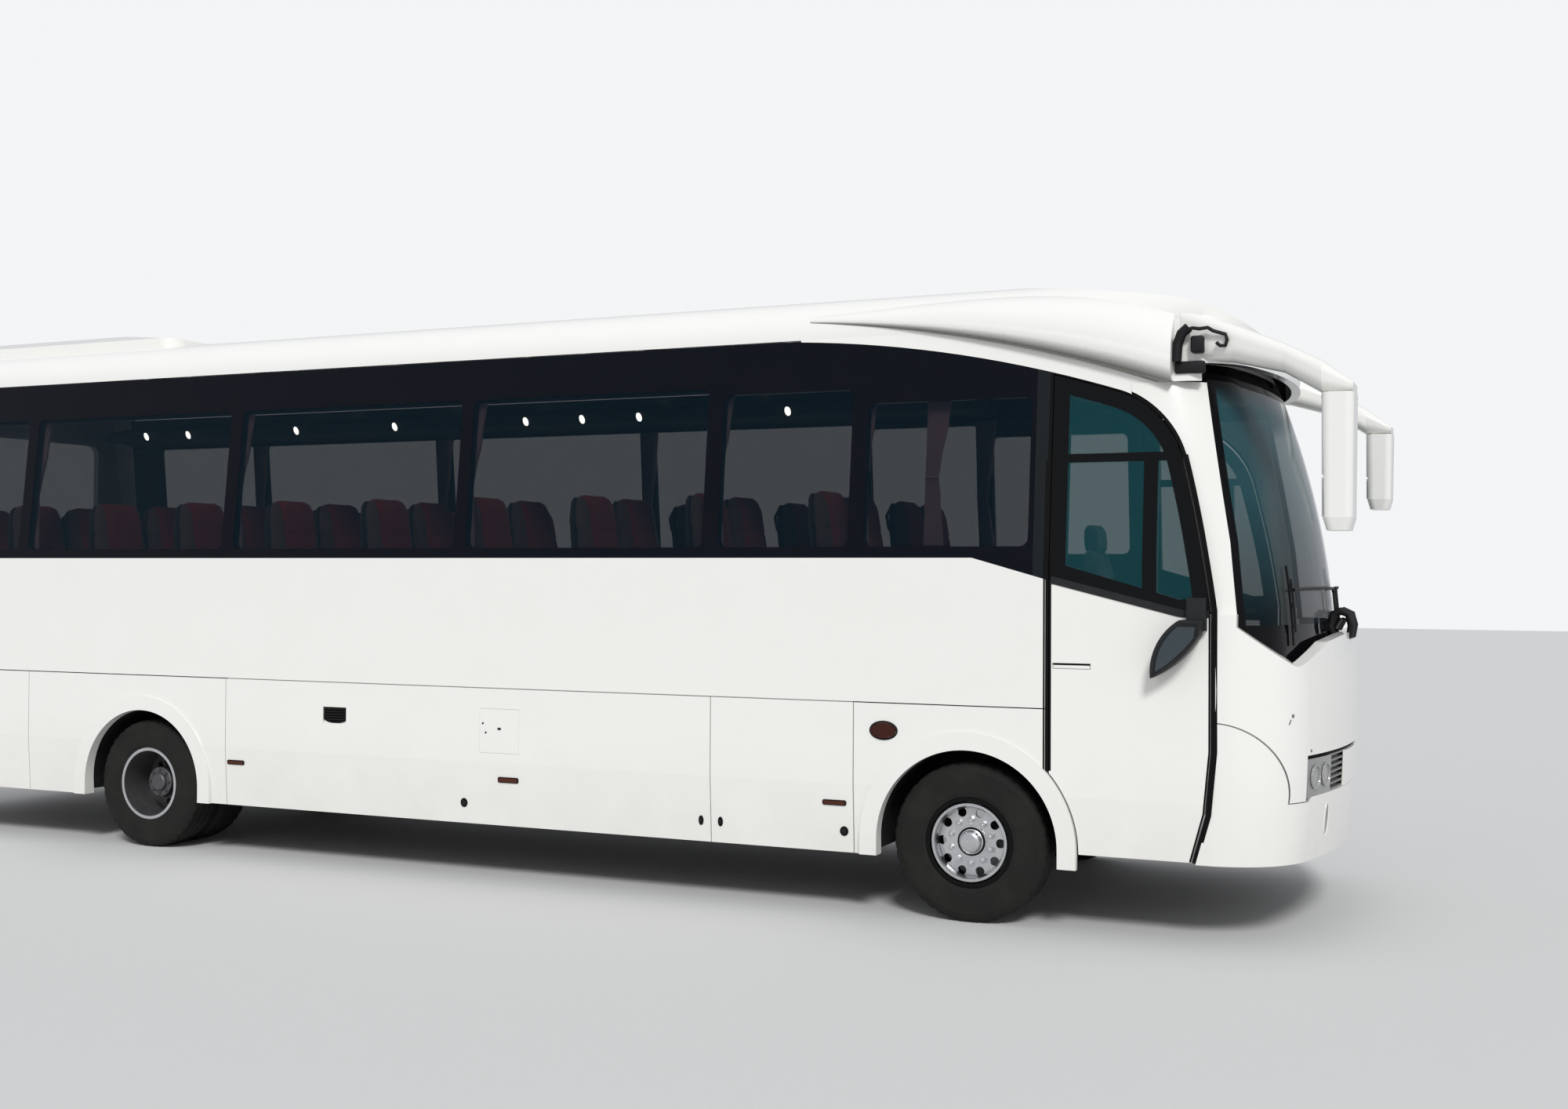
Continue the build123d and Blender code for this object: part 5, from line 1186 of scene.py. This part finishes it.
# Small catches on the hood's corners: round buttons and a short bar
catchPlan = {
    "buttons": ((1.060, 1.140, 0.010), (0.905, 0.958, 0.008)),
    "bar": ((1.072, 1.122), (1.082, 1.098)),
    "barRadius": 0.0035,
    "barProud": 0.001,
}
shape = bmesh.new()
for word, side in bothSides():
    for y, z, radius in catchPlan["buttons"]:
        profile = [(-0.004, radius), (0.0015, radius), (0.003, 0.7 * radius), (0.003, 0.0)]
        pour(shape, spinPart(profile, 16), facing(noseLevels, side * y, z))
    bar = [(noseX(noseLevels, side * y, z) + catchPlan["barProud"], side * y, z) for y, z in catchPlan["bar"]]
    pour(shape, tubePart(bar, catchPlan["barRadius"], 6))
addPiece("hood_catches", shape, grilleGrey)
print("front dressed")

# Soft pads: closed lofts of rounded outlines, swollen by the cloth solver
padPlan = {
    "voxel": 0.009,
    "pressure": 4.0,
    "frames": 20,
    "cap": 0.012,
    "keepShare": 0.16,
    "around": 28,
    "round": 0.42,
    "channelDepth": 0.006,
    "channelHalf": 0.011,
}


# One closed pad from (middle, along, half thickness, half width) sections, each a soft rectangle
def padLoft(sections, upright):
    part = bmesh.new()
    rings = []
    for middle, along, halfAlong, halfY in sections:
        ring = []
        for k in range(padPlan["around"]):
            a = 2 * math.pi * (k + 0.5) / padPlan["around"]
            c, s = math.cos(a), math.sin(a)
            first = middle + halfAlong * math.copysign(abs(c) ** padPlan["round"], c)
            y = halfY * math.copysign(abs(s) ** padPlan["round"], s)
            ring.append(part.verts.new((first, y, along) if upright else (along, y, first)))
        rings.append(ring)
    skinRings(part, rings)
    bmesh.ops.recalc_face_normals(part, faces=part.faces)
    return part


# Presses sewn channels into a pad: (axis, place) pairs, where axis is 1 for y or 2 for z
def sewChannels(mesh, channels):
    for vertex in mesh.vertices:
        press = 0.0
        for axis, place in channels:
            press = max(press, math.exp(-((vertex.co[axis] - place) / padPlan["channelHalf"]) ** 2))
        if press > 0.01:
            vertex.co -= padPlan["channelDepth"] * press * vertex.normal


def swellPad(name, sections, upright, channels):
    mesh = bpy.data.meshes.new(name)
    part = padLoft(sections, upright)
    part.to_mesh(mesh)
    part.free()
    pad = bpy.data.objects.new(name, mesh)
    scene.collection.objects.link(pad)
    remesh = pad.modifiers.new("remesh", "REMESH")
    remesh.mode = "VOXEL"
    remesh.voxel_size = padPlan["voxel"]
    depsgraph = bpy.context.evaluated_depsgraph_get()
    still = bpy.data.meshes.new_from_object(pad.evaluated_get(depsgraph))
    pad.modifiers.clear()
    pad.data = still
    rest = [vertex.co.copy() for vertex in still.vertices]
    cloth = pad.modifiers.new("cloth", "CLOTH")
    cloth.settings.use_pressure = True
    cloth.settings.uniform_pressure_force = padPlan["pressure"]
    cloth.settings.effector_weights.gravity = 0.0
    cloth.point_cache.frame_start = 1
    cloth.point_cache.frame_end = padPlan["frames"]
    for step in range(1, padPlan["frames"] + 1):
        scene.frame_set(step)
    depsgraph = bpy.context.evaluated_depsgraph_get()
    swollen = bpy.data.meshes.new_from_object(pad.evaluated_get(depsgraph))
    pad.modifiers.clear()
    for vertex, start in zip(swollen.vertices, rest):
        move = vertex.co - start
        if move.length > padPlan["cap"]:
            vertex.co = start + move * (padPlan["cap"] / move.length)
    pad.data = swollen
    scene.frame_set(1)
    sewChannels(swollen, channels)
    thin = pad.modifiers.new("thin", "DECIMATE")
    thin.ratio = padPlan["keepShare"]
    depsgraph = bpy.context.evaluated_depsgraph_get()
    pad.data = bpy.data.meshes.new_from_object(pad.evaluated_get(depsgraph))
    pad.modifiers.clear()
    made = bmesh.new()
    made.from_mesh(pad.data)
    bpy.data.objects.remove(pad)
    return made


# Seats, at a seat's own place: sections are (middle, along, half thickness, half width)
seatPlan = {
    "footZ": 1.185,
    "backHigh": (
        (0.075, 0.375, 0.030, 0.190), (0.074, 0.400, 0.043, 0.212), (0.060, 0.480, 0.046, 0.218),
        (0.036, 0.620, 0.048, 0.219), (0.015, 0.790, 0.045, 0.217), (-0.006, 0.950, 0.041, 0.212),
        (-0.018, 1.050, 0.037, 0.200), (-0.026, 1.100, 0.031, 0.178), (-0.030, 1.126, 0.018, 0.140),
    ),
    "cushion": (
        (0.385, 0.120, 0.028, 0.200), (0.383, 0.145, 0.042, 0.215), (0.382, 0.250, 0.047, 0.219),
        (0.385, 0.380, 0.047, 0.219), (0.388, 0.470, 0.044, 0.217), (0.388, 0.505, 0.034, 0.208),
        (0.388, 0.520, 0.018, 0.190),
    ),
    "shellRear": (
        (-0.072, 1.100, 0.010, 0.150), (-0.068, 1.070, 0.013, 0.188), (-0.059, 0.960, 0.014, 0.216),
        (-0.038, 0.780, 0.014, 0.226), (-0.014, 0.600, 0.014, 0.228), (0.012, 0.420, 0.014, 0.222),
        (0.026, 0.350, 0.012, 0.200),
    ),
    "shellUnder": (
        (0.330, 0.090, 0.008, 0.190), (0.326, 0.200, 0.010, 0.214), (0.326, 0.440, 0.010, 0.214),
        (0.332, 0.505, 0.008, 0.190),
    ),
    "backChannels": ((1, -0.130), (1, 0.130), (2, 0.900)),
    "cushionChannels": ((1, -0.130), (1, 0.130)),
    "seatYs": (-0.243, 0.243),
    "firstX": ahead(-0.900),
    "bolster": 0.152,
    "pitch": 0.770,
    "rows": 9,
    "pairY": 0.645,
    "pairHalf": 0.46,
    "benchHalf": 1.10,
    "tubeXs": (0.16, 0.42),
    "tubeZ": 0.312,
    "benchX": rearEndX + 0.420,
    "benchYs": (-0.893, -0.4465, 0.0, 0.4465, 0.893),
}
backPad = swellPad("backPad", seatPlan["backHigh"], True, seatPlan["backChannels"])
cushionPad = swellPad("cushionPad", seatPlan["cushion"], False, seatPlan["cushionChannels"])


# Adds a moved copy of a part, which keeps its faces' finishes and stays for the next copy
def copyPart(shape, part, matrix):
    spare = bpy.data.meshes.new("spare")
    part.to_mesh(spare)
    spare.transform(matrix)
    shape.from_mesh(spare)
    bpy.data.meshes.remove(spare)


# The pads' sides take the second cloth
def markBolsters(part, reach):
    for face in part.faces:
        face.material_index = 1 if abs(face.calc_center_median().y) > reach else 0


# The hard shell behind a seat's back and under its cushion
def seatShell(shape, place):
    pour(shape, padLoft(seatPlan["shellRear"], True), place)
    pour(shape, padLoft(seatPlan["shellUnder"], False), place)


# The two legs and two cross tubes that carry a pair of seats or the bench
def seatFrame(shape, x, y, half, footZ):
    for turn in (-1, 1):
        legY = y + turn * 0.55 * half
        pour(shape, boxPart((x + 0.150, legY - 0.018, footZ),
                            (x + 0.310, legY + 0.018, footZ + 0.012), 0.004))
        pour(shape, boxPart((x + 0.215, legY - 0.014, footZ + 0.012),
                            (x + 0.250, legY + 0.014, footZ + 0.305), 0.004))
    z = footZ + seatPlan["tubeZ"]
    for tubeX in seatPlan["tubeXs"]:
        pour(shape, tubePart([(x + tubeX, y - half, z), (x + tubeX, y + half, z)], 0.013, 10))


def armRest(shape, x, y, footZ):
    arm = [(x + 0.045, y, footZ + 0.600), (x + 0.080, y, footZ + 0.618), (x + 0.320, y, footZ + 0.622),
           (x + 0.345, y, footZ + 0.610)]
    pour(shape, tubePart(arm, 0.0165, 10))


def grabHandle(shape, x, y, footZ):
    grip = [(x - 0.060, y, footZ + 0.915), (x - 0.078, y, footZ + 0.945), (x - 0.092, y, footZ + 1.020),
            (x - 0.070, y, footZ + 1.060)]
    pour(shape, tubePart(grip, 0.010, 8))


for part in (backPad, cushionPad):
    markBolsters(part, seatPlan["bolster"])
pads = {name: bmesh.new() for name in ("right", "left", "rear")}
shells, frames, handles = bmesh.new(), bmesh.new(), bmesh.new()
footZ = seatPlan["footZ"]
for row in range(seatPlan["rows"]):
    x = seatPlan["firstX"] - row * seatPlan["pitch"]
    for word, side in bothSides():
        y = side * seatPlan["pairY"]
        for shift in seatPlan["seatYs"]:
            place = Matrix.Translation((x, y + shift, footZ))
            copyPart(pads[word], backPad, place)
            copyPart(pads[word], cushionPad, place)
            seatShell(shells, place)
        seatFrame(frames, x, y, seatPlan["pairHalf"], footZ)
        armRest(handles, x, side * 0.180, footZ)
        armRest(handles, x, y, footZ)
        grabHandle(handles, x, side * 0.215, footZ)
for y in seatPlan["benchYs"]:
    narrow = Matrix.Translation((seatPlan["benchX"], y, footZ)) @ Matrix.Diagonal((1, 0.98, 1, 1))
    copyPart(pads["rear"], backPad, narrow)
    copyPart(pads["rear"], cushionPad, narrow)
    seatShell(shells, narrow)
seatFrame(frames, seatPlan["benchX"], 0.0, seatPlan["benchHalf"], footZ)
for word, shape in pads.items():
    made = addPiece("seat_pads_" + word, shape, [seatMaroon, seatTaupe], sharp=60)
    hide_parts("seats")
for name, shape, finish in (("seat_shells", shells, seatShellGrey), ("seat_frames", frames, trimBlack),
                            ("seat_armrests", handles, seatShellGrey)):
    made = addPiece(name, shape, finish, sharp=45)
    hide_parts("seats")

# Driver's seat: the same pads, taller, on a boxed base, with a separate headrest
driverPlan = {
    "x": ahead(0.560),
    "y": -0.620,
    "footZ": 0.785,
    "backShift": (0.005, 0.0, -0.03),
    "backStretch": (1, 1.03, 1.09, 1),
    "headRest": (
        (-0.022, 1.170, 0.022, 0.100), (-0.020, 1.185, 0.038, 0.128), (-0.022, 1.235, 0.042, 0.135),
        (-0.026, 1.290, 0.038, 0.130), (-0.028, 1.318, 0.022, 0.105),
    ),
}
shape = bmesh.new()
for part in (backPad, cushionPad):
    for face in part.faces:
        face.material_index = 0
x, y, footZ = driverPlan["x"], driverPlan["y"], driverPlan["footZ"]
shiftX, shiftY, shiftZ = driverPlan["backShift"]
place = Matrix.Translation((x, y, footZ))
tall = Matrix.Translation((x + shiftX, y + shiftY, footZ + shiftZ))
tall = tall @ Matrix.Diagonal(driverPlan["backStretch"])
copyPart(shape, backPad, tall)
copyPart(shape, cushionPad, place)
pour(shape, padLoft(driverPlan["headRest"], True), place)
made = addPiece("driver_seat_pads", shape, driverCloth, sharp=60)
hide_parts("driver_seat")
shape = bmesh.new()
seatShell(shape, place)
pour(shape, boxPart((x + 0.140, y - 0.170, footZ), (x + 0.330, y + 0.170, footZ + 0.310), 0.015, 3))
for postY in (y - 0.06, y + 0.06):
    pour(shape, tubePart([(x - 0.020, postY, footZ + 1.10), (x - 0.022, postY, footZ + 1.19)], 0.007, 8))
made = addPiece("driver_seat_base", shape, trimBlack, sharp=45)
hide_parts("driver_seat")
backPad.free()
cushionPad.free()
print("seats made")

# Curtains: gathered sheets tied at the waist; the pleats carry the same width of cloth at every height
curtainPlan = {
    "places": (-6.855, -5.045, -3.235, -1.557, -0.674, -0.250),
    "start": -0.012,
    "z": (1.987, 2.868),
    "rows": 26,
    "folds": 8,
    "perFold": 8,
    "flat": 0.50,
    "depth": 0.0205,
    "wall": 0.050,
    "widths": ((0.00, 0.112), (0.30, 0.088), (0.42, 0.074), (0.50, 0.086), (0.75, 0.122), (1.00, 0.144)),
    "shifts": ((0.00, 0.004), (0.42, 0.000), (1.00, 0.000)),
}


# A smooth value at a share of the height, from a table of (share, value) pairs
def between(table, share):
    for (low, first), (high, last) in zip(table, table[1:]):
        if share <= high:
            t = (share - low) / (high - low)
            t = t * t * (3 - 2 * t)
            return first + (last - first) * t
    return table[-1][1]


# One level of the pleats, as (along, outwards) points
def pleatRow(width, depth, phase):
    count = curtainPlan["folds"] * curtainPlan["perFold"]
    points = []
    for k in range(count + 1):
        t = k / count
        swing = math.sin(2 * math.pi * curtainPlan["folds"] * t + phase)
        lean = 0.6 * math.sin(4 * math.pi * curtainPlan["folds"] * t + 2 * phase)
        points.append((width * t + 0.12 * width / curtainPlan["folds"] * lean, depth * swing))
    return points


def rowLength(points):
    return sum(math.hypot(b[0] - a[0], b[1] - a[1]) for a, b in zip(points, points[1:]))


# The pleats' depth that makes a row as long as the flat cloth
def pleatDepth(width, phase):
    low, high = 0.0, 0.05
    for _ in range(30):
        trial = (low + high) / 2
        if rowLength(pleatRow(width, trial, phase)) < curtainPlan["flat"]:
            low = trial
        else:
            high = trial
    return low


depths = []
lowZ, highZ = curtainPlan["z"]
for word, side in bothSides():
    for index, place in enumerate(curtainPlan["places"]):
        shape = bmesh.new()
        rows = []
        for j in range(curtainPlan["rows"] + 1):
            share = j / curtainPlan["rows"]
            z = lowZ + (highZ - lowZ) * share
            width = between(curtainPlan["widths"], share)
            startX = ahead(place) + curtainPlan["start"] + between(curtainPlan["shifts"], share)
            phase = 0.5 * index + 0.4 * share
            depth = pleatDepth(width, phase)
            middle = sideY(z) - curtainPlan["wall"] - curtainPlan["depth"]
            rows.append([shape.verts.new((startX + dx, side * (middle + dy), z))
                         for dx, dy in pleatRow(width, depth, phase)])
        for here, there in zip(rows, rows[1:]):
            for k in range(len(here) - 1):
                shape.faces.new((here[k], here[k + 1], there[k + 1], there[k]))
        made = addPiece("curtain_{}_{}".format(word, index + 1), shape, curtainPink, sharp=80)
        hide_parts("curtains")
        depths.append(depth)
print("curtains hung, pleats up to", round(max(depths), 4))

# Curtain rails, ties, and the lamps on the luggage racks
trackPlan = {"z": 2.862, "ends": (rearEndX + 0.320, ahead(0.320)), "depth": 0.060, "tieZ": 2.355}
rails, ties = bmesh.new(), bmesh.new()
for word, side in bothSides():
    y = side * (sideY(trackPlan["z"]) - trackPlan["depth"] - 0.030)
    for place in curtainPlan["places"]:
        tieZ = trackPlan["tieZ"]
        x = ahead(place) + curtainPlan["start"] + 0.031
        tieY = side * (sideY(tieZ) - curtainPlan["wall"] - curtainPlan["depth"])
        ring = [(x + 0.036 * math.cos(a), tieY + 0.024 * math.sin(a), tieZ) for a in ringAngles(20)]
        pour(ties, tubePart(ring, 0.004, 6, True))
    pour(rails, boxPart((trackPlan["ends"][0], min(y, y + side * 0.026), trackPlan["z"] + 0.004),
                        (trackPlan["ends"][1], max(y, y + side * 0.026), trackPlan["z"] + 0.022), 0.002))
addPiece("curtain_rails", rails, trimBlack)
addPiece("curtain_ties", ties, curtainPink)

rackLampPlan = {
    "places": (-4.47, -4.02, -2.91, -1.96, -0.78, -0.30, 0.17, 1.33),
    "z": 2.953,
    "halfX": 0.019,
    "halfZ": 0.026,
    "edge": ((0.800, 2.925), (0.770, 2.990)),
    "dome": ((1.15, -0.003), (1.15, 0.003), (1.0, 0.006), (0.6, 0.011), (0.2, 0.013)),
}
shape = bmesh.new()
(lowY, lowZ), (highY, highZ) = rackLampPlan["edge"]
for word, side in bothSides():
    for place in rackLampPlan["places"]:
        rings = []
        for share, out in rackLampPlan["dome"]:
            halfX, halfZ = share * rackLampPlan["halfX"], share * rackLampPlan["halfZ"]
            ring = []
            for x, z in oval(place, rackLampPlan["z"], halfX, halfZ, 20):
                y = lowY + (highY - lowY) * (z - lowZ) / (highZ - lowZ) - out
                ring.append(shape.verts.new((x, side * y, z)))
            rings.append(ring)
        skinRings(shape, rings)
addPiece("rack_lamps", shape, roundLamp)
print("saloon dressed")

# Rear: dark backs to the lid's louvres, a flush handle, and reflectors on the bumper
tailPlan = {
    "louvres": 7,
    "firstZ": 0.760,
    "pitch": 0.070,
    "tall": 0.036,
    "halfY": 0.559,
    "depth": (0.0130, 0.0178),
    "edge": 0.0005,
    "struts": 9,
    "handle": (0.085, 1.500, 0.017),
    "hinges": (-0.55, 0.55),
    "reflector": (0.870, 0.515, 0.055, 0.020),
    "barHeights": (0.900, 1.000, 1.140),
    "barY": (0.862, 0.998),
    "proud": 0.003,
}
shape = bmesh.new()
near, far = tailPlan["depth"]
proudX, innerX = rearEndX - tailPlan["proud"], rearEndX + 0.004
for k in range(tailPlan["louvres"]):
    low = tailPlan["firstZ"] + k * tailPlan["pitch"]
    lowZ, highZ = low + tailPlan["edge"], low + tailPlan["tall"] - tailPlan["edge"]
    pour(shape, boxPart((rearEndX + near, -tailPlan["halfY"], lowZ),
                        (rearEndX + far, tailPlan["halfY"], highZ), 0))
    for j in range(tailPlan["struts"]):
        y = tailPlan["halfY"] * (j - 4) / 4.5
        pour(shape, boxPart((rearEndX + 0.003, y - 0.003, lowZ),
                            (rearEndX + near, y + 0.003, highZ), 0), None, 1)
halfY, z, halfZ = tailPlan["handle"]
pour(shape, boxPart((proudX, -halfY, z - halfZ), (innerX, halfY, z + halfZ), 0.0025), None, 1)
for y in tailPlan["hinges"]:
    pour(shape, boxPart((proudX, y - 0.018, z - 0.012), (innerX, y + 0.018, z + 0.012), 0.0025), None, 1)
addPiece("lid_louvre_backs", shape, [sealRubber, trimBlack], "engine_lid")
shape = bmesh.new()
middle, z, halfY, halfZ = tailPlan["reflector"]
for word, side in bothSides():
    ends = sideSpan(side, middle - halfY, middle + halfY)
    pour(shape, boxPart((rearEndX - 0.001, ends[0], z - halfZ), (innerX, ends[1], z + halfZ), 0.001), None, 1)
    pour(shape, boxPart((proudX, ends[0] + 0.004, z - halfZ + 0.004),
                        (rearEndX, ends[1] - 0.004, z + halfZ - 0.004), 0.001))
addPiece("rear_reflectors", shape, [redLamp, trimBlack])
shape = bmesh.new()
for word, side in bothSides():
    ends = sideSpan(side, *tailPlan["barY"])
    for z in tailPlan["barHeights"]:
        pour(shape, boxPart((rearEndX - 0.0012, ends[0], z - 0.003), (rearEndX + 0.003, ends[1], z + 0.003),
                            0.0005))
addPiece("tail_lamp_bars", shape, trimBlack)

# Roof: fans in the pod's top, a small fin before it, and catches on the hatches
roofPlan = {
    "podTop": 3.505,
    "fans": (-4.25, -3.62),
    "fanR": 0.205,
    "fanRings": (1.0, 0.82, 0.64, 0.46, 0.28),
    "guardLift": 0.0025,
    "fin": ((ahead(-5.835), 3.400), (ahead(-5.835), 3.425), (ahead(-5.800), 3.456), (ahead(-5.786), 3.456),
            (ahead(-5.778), 3.400)),
    "finHalf": 0.012,
    "hatches": (ahead(-4.300), ahead(-1.700)),
    "hatchTop": 3.467,
}
shape = bmesh.new()
for x in roofPlan["fans"]:
    lift = Matrix.Translation((x, 0, roofPlan["podTop"])) @ Matrix.Rotation(math.radians(90), 4, "X")
    pour(shape, spinPart([(-0.003, roofPlan["fanR"]), (0.0006, roofPlan["fanR"]), (0.0006, 0.0)], 48), lift)
    guardZ = roofPlan["podTop"] + roofPlan["guardLift"]
    for share in roofPlan["fanRings"]:
        radius = share * roofPlan["fanR"]
        ring = [(x + radius * math.cos(a), radius * math.sin(a), guardZ) for a in ringAngles(40)]
        pour(shape, tubePart(ring, 0.0024, 6, True), None, 1)
    for a in ringAngles(8):
        outer = (x + roofPlan["fanR"] * math.cos(a), roofPlan["fanR"] * math.sin(a), guardZ)
        pour(shape, tubePart([(x, 0, guardZ), outer], 0.0022, 6), None, 1)
addPiece("pod_fans", shape, [sealRubber, trimBlack])
shape = bmesh.new()
rows = [[shape.verts.new((x, y, z)) for x, z in roofPlan["fin"]]
        for y in (-roofPlan["finHalf"], roofPlan["finHalf"])]
skinRings(shape, rows)
addPiece("roof_fin", shape, bodyWhite)
shape = bmesh.new()
for x in roofPlan["hatches"]:
    for y in (-0.20, 0.20):
        pour(shape, boxPart((x - 0.300, y - 0.020, roofPlan["hatchTop"] - 0.002),
                            (x + 0.300, y + 0.020, roofPlan["hatchTop"] + 0.008), 0.006))
addPiece("hatch_ribs", shape, bodyWhite)

# Under the floor: the short shaft from the engine to the axle, and a silencer held to the frame
underPlan = {
    "shaft": ((-3.170, 0.0, 0.640), (-2.640, 0.0, 0.450)),
    "silencer": ((-4.650, 0.600, 0.620), (-4.000, 0.600, 0.620)),
    "silencerR": 0.115,
    "pipe": ((-3.900, 0.420, 0.640), (-3.930, 0.560, 0.625), (-4.000, 0.600, 0.620)),
    "tail": ((-4.650, 0.600, 0.600), (-4.780, 0.610, 0.540), (-4.950, 0.620, 0.455), (-5.080, 0.622, 0.425)),
    "strapXs": (-4.520, -4.130),
}
shape = bmesh.new()
pour(shape, tubePart(underPlan["shaft"], 0.042, 20))
for x, y, z in underPlan["shaft"]:
    pour(shape, tubePart([(x - 0.022, y, z + 0.008), (x + 0.022, y, z - 0.008)], 0.068, 20))
addPiece("drive_shaft", shape, frameSteel)
shape = bmesh.new()
pour(shape, tubePart(underPlan["silencer"], underPlan["silencerR"], 28))
pour(shape, tubePart(underPlan["tail"], 0.040, 16))
pour(shape, tubePart(underPlan["pipe"], 0.036, 16))
for x in underPlan["strapXs"]:
    pour(shape, boxPart((x - 0.020, 0.436, 0.700), (x + 0.020, 0.640, 0.738), 0.004))
addPiece("silencer", shape, castIron)

# Cab: a hooded instrument panel
cabPlan = {
    "hood": ((ahead(1.270), -0.860, 1.380), (ahead(1.440), -0.380, 1.462)),
}
shape = bmesh.new()
pour(shape, boxPart(*cabPlan["hood"], 0.030, 4))
addPiece("instrument_hood", shape, dashBlack)
print("rear, roof and underside dressed")

# Camera at the photograph's viewing angle
cameraView = {
    "place": (5.93, -9.58, 1.80),
    "yaw": 24.03,
    "pitch": 0.87,
    "roll": 0.31,
    "lens": 38.09,
}
yaw, pitch, roll = (math.radians(cameraView[key]) for key in ("yaw", "pitch", "roll"))
forward = Vector((-math.sin(yaw) * math.cos(pitch), math.cos(yaw) * math.cos(pitch), math.sin(pitch)))
level = Vector((math.cos(yaw), math.sin(yaw), 0))
upward = level.cross(forward)
right = math.cos(roll) * level + math.sin(roll) * upward
above = -math.sin(roll) * level + math.cos(roll) * upward
camera = bpy.data.objects.new("camera", bpy.data.cameras.new("camera"))
camera.data.lens = cameraView["lens"]
camera.data.sensor_width = 36.0
camera.data.clip_end = 200.0
turn = Matrix((right, above, -forward)).transposed().to_4x4()
camera.matrix_world = Matrix.Translation(cameraView["place"]) @ turn
scene.collection.objects.link(camera)
scene.camera = camera

# Pale floor and plain lights
lightPlan = {
    "skyStrength": 0.62,
    "sunStrength": 2.1,
    "sunAngle": 14,
    "sunTurn": (50, 0, 28),
    "floorHalf": 60,
}
floorMaterial = newMaterial("paleFloor", **{"Base Color": colour(0.62, 0.62, 0.61), "Roughness": 0.9})[0]
floorMesh = bpy.data.meshes.new("floor")
half = lightPlan["floorHalf"]
corners = [(-half, -half, 0), (half, -half, 0), (half, half, 0), (-half, half, 0)]
floorMesh.from_pydata(corners, [], [(0, 1, 2, 3)])
floorMesh.materials.append(floorMaterial)
floorPiece = bpy.data.objects.new("floor", floorMesh)
scene.collection.objects.link(floorPiece)

world = bpy.data.worlds.new("paleStudio")
scene.world = world
world.use_nodes = True
worldTree = world.node_tree
sky = worldTree.nodes["Background"]
setInputs(sky, {"Color": colour(0.93, 0.95, 1.0), "Strength": lightPlan["skyStrength"]})
backdrop = put(worldTree, "ShaderNodeBackground", (0, -200))
setInputs(backdrop, {"Color": colour(0.90, 0.91, 0.92), "Strength": 1.0})
seen = put(worldTree, "ShaderNodeLightPath", (-400, 200))
anySeen = put(worldTree, "ShaderNodeMath", (-200, 200), operation="MAXIMUM")
join(worldTree, seen.outputs["Is Camera Ray"], anySeen.inputs[0])
join(worldTree, seen.outputs["Is Transmission Ray"], anySeen.inputs[1])
blendSky = put(worldTree, "ShaderNodeMixShader", (200, 0))
join(worldTree, anySeen.outputs[0], blendSky.inputs[0])
join(worldTree, sky.outputs[0], blendSky.inputs[1])
join(worldTree, backdrop.outputs[0], blendSky.inputs[2])
join(worldTree, blendSky.outputs[0], worldTree.nodes["World Output"].inputs[0])

sun = bpy.data.objects.new("sun", bpy.data.lights.new("sun", "SUN"))
sun.data.energy = lightPlan["sunStrength"]
sun.data.angle = math.radians(lightPlan["sunAngle"])
sun.rotation_euler = [math.radians(a) for a in lightPlan["sunTurn"]]
scene.collection.objects.link(sun)
scene.view_settings.view_transform = "Standard"
print("camera and lights placed")
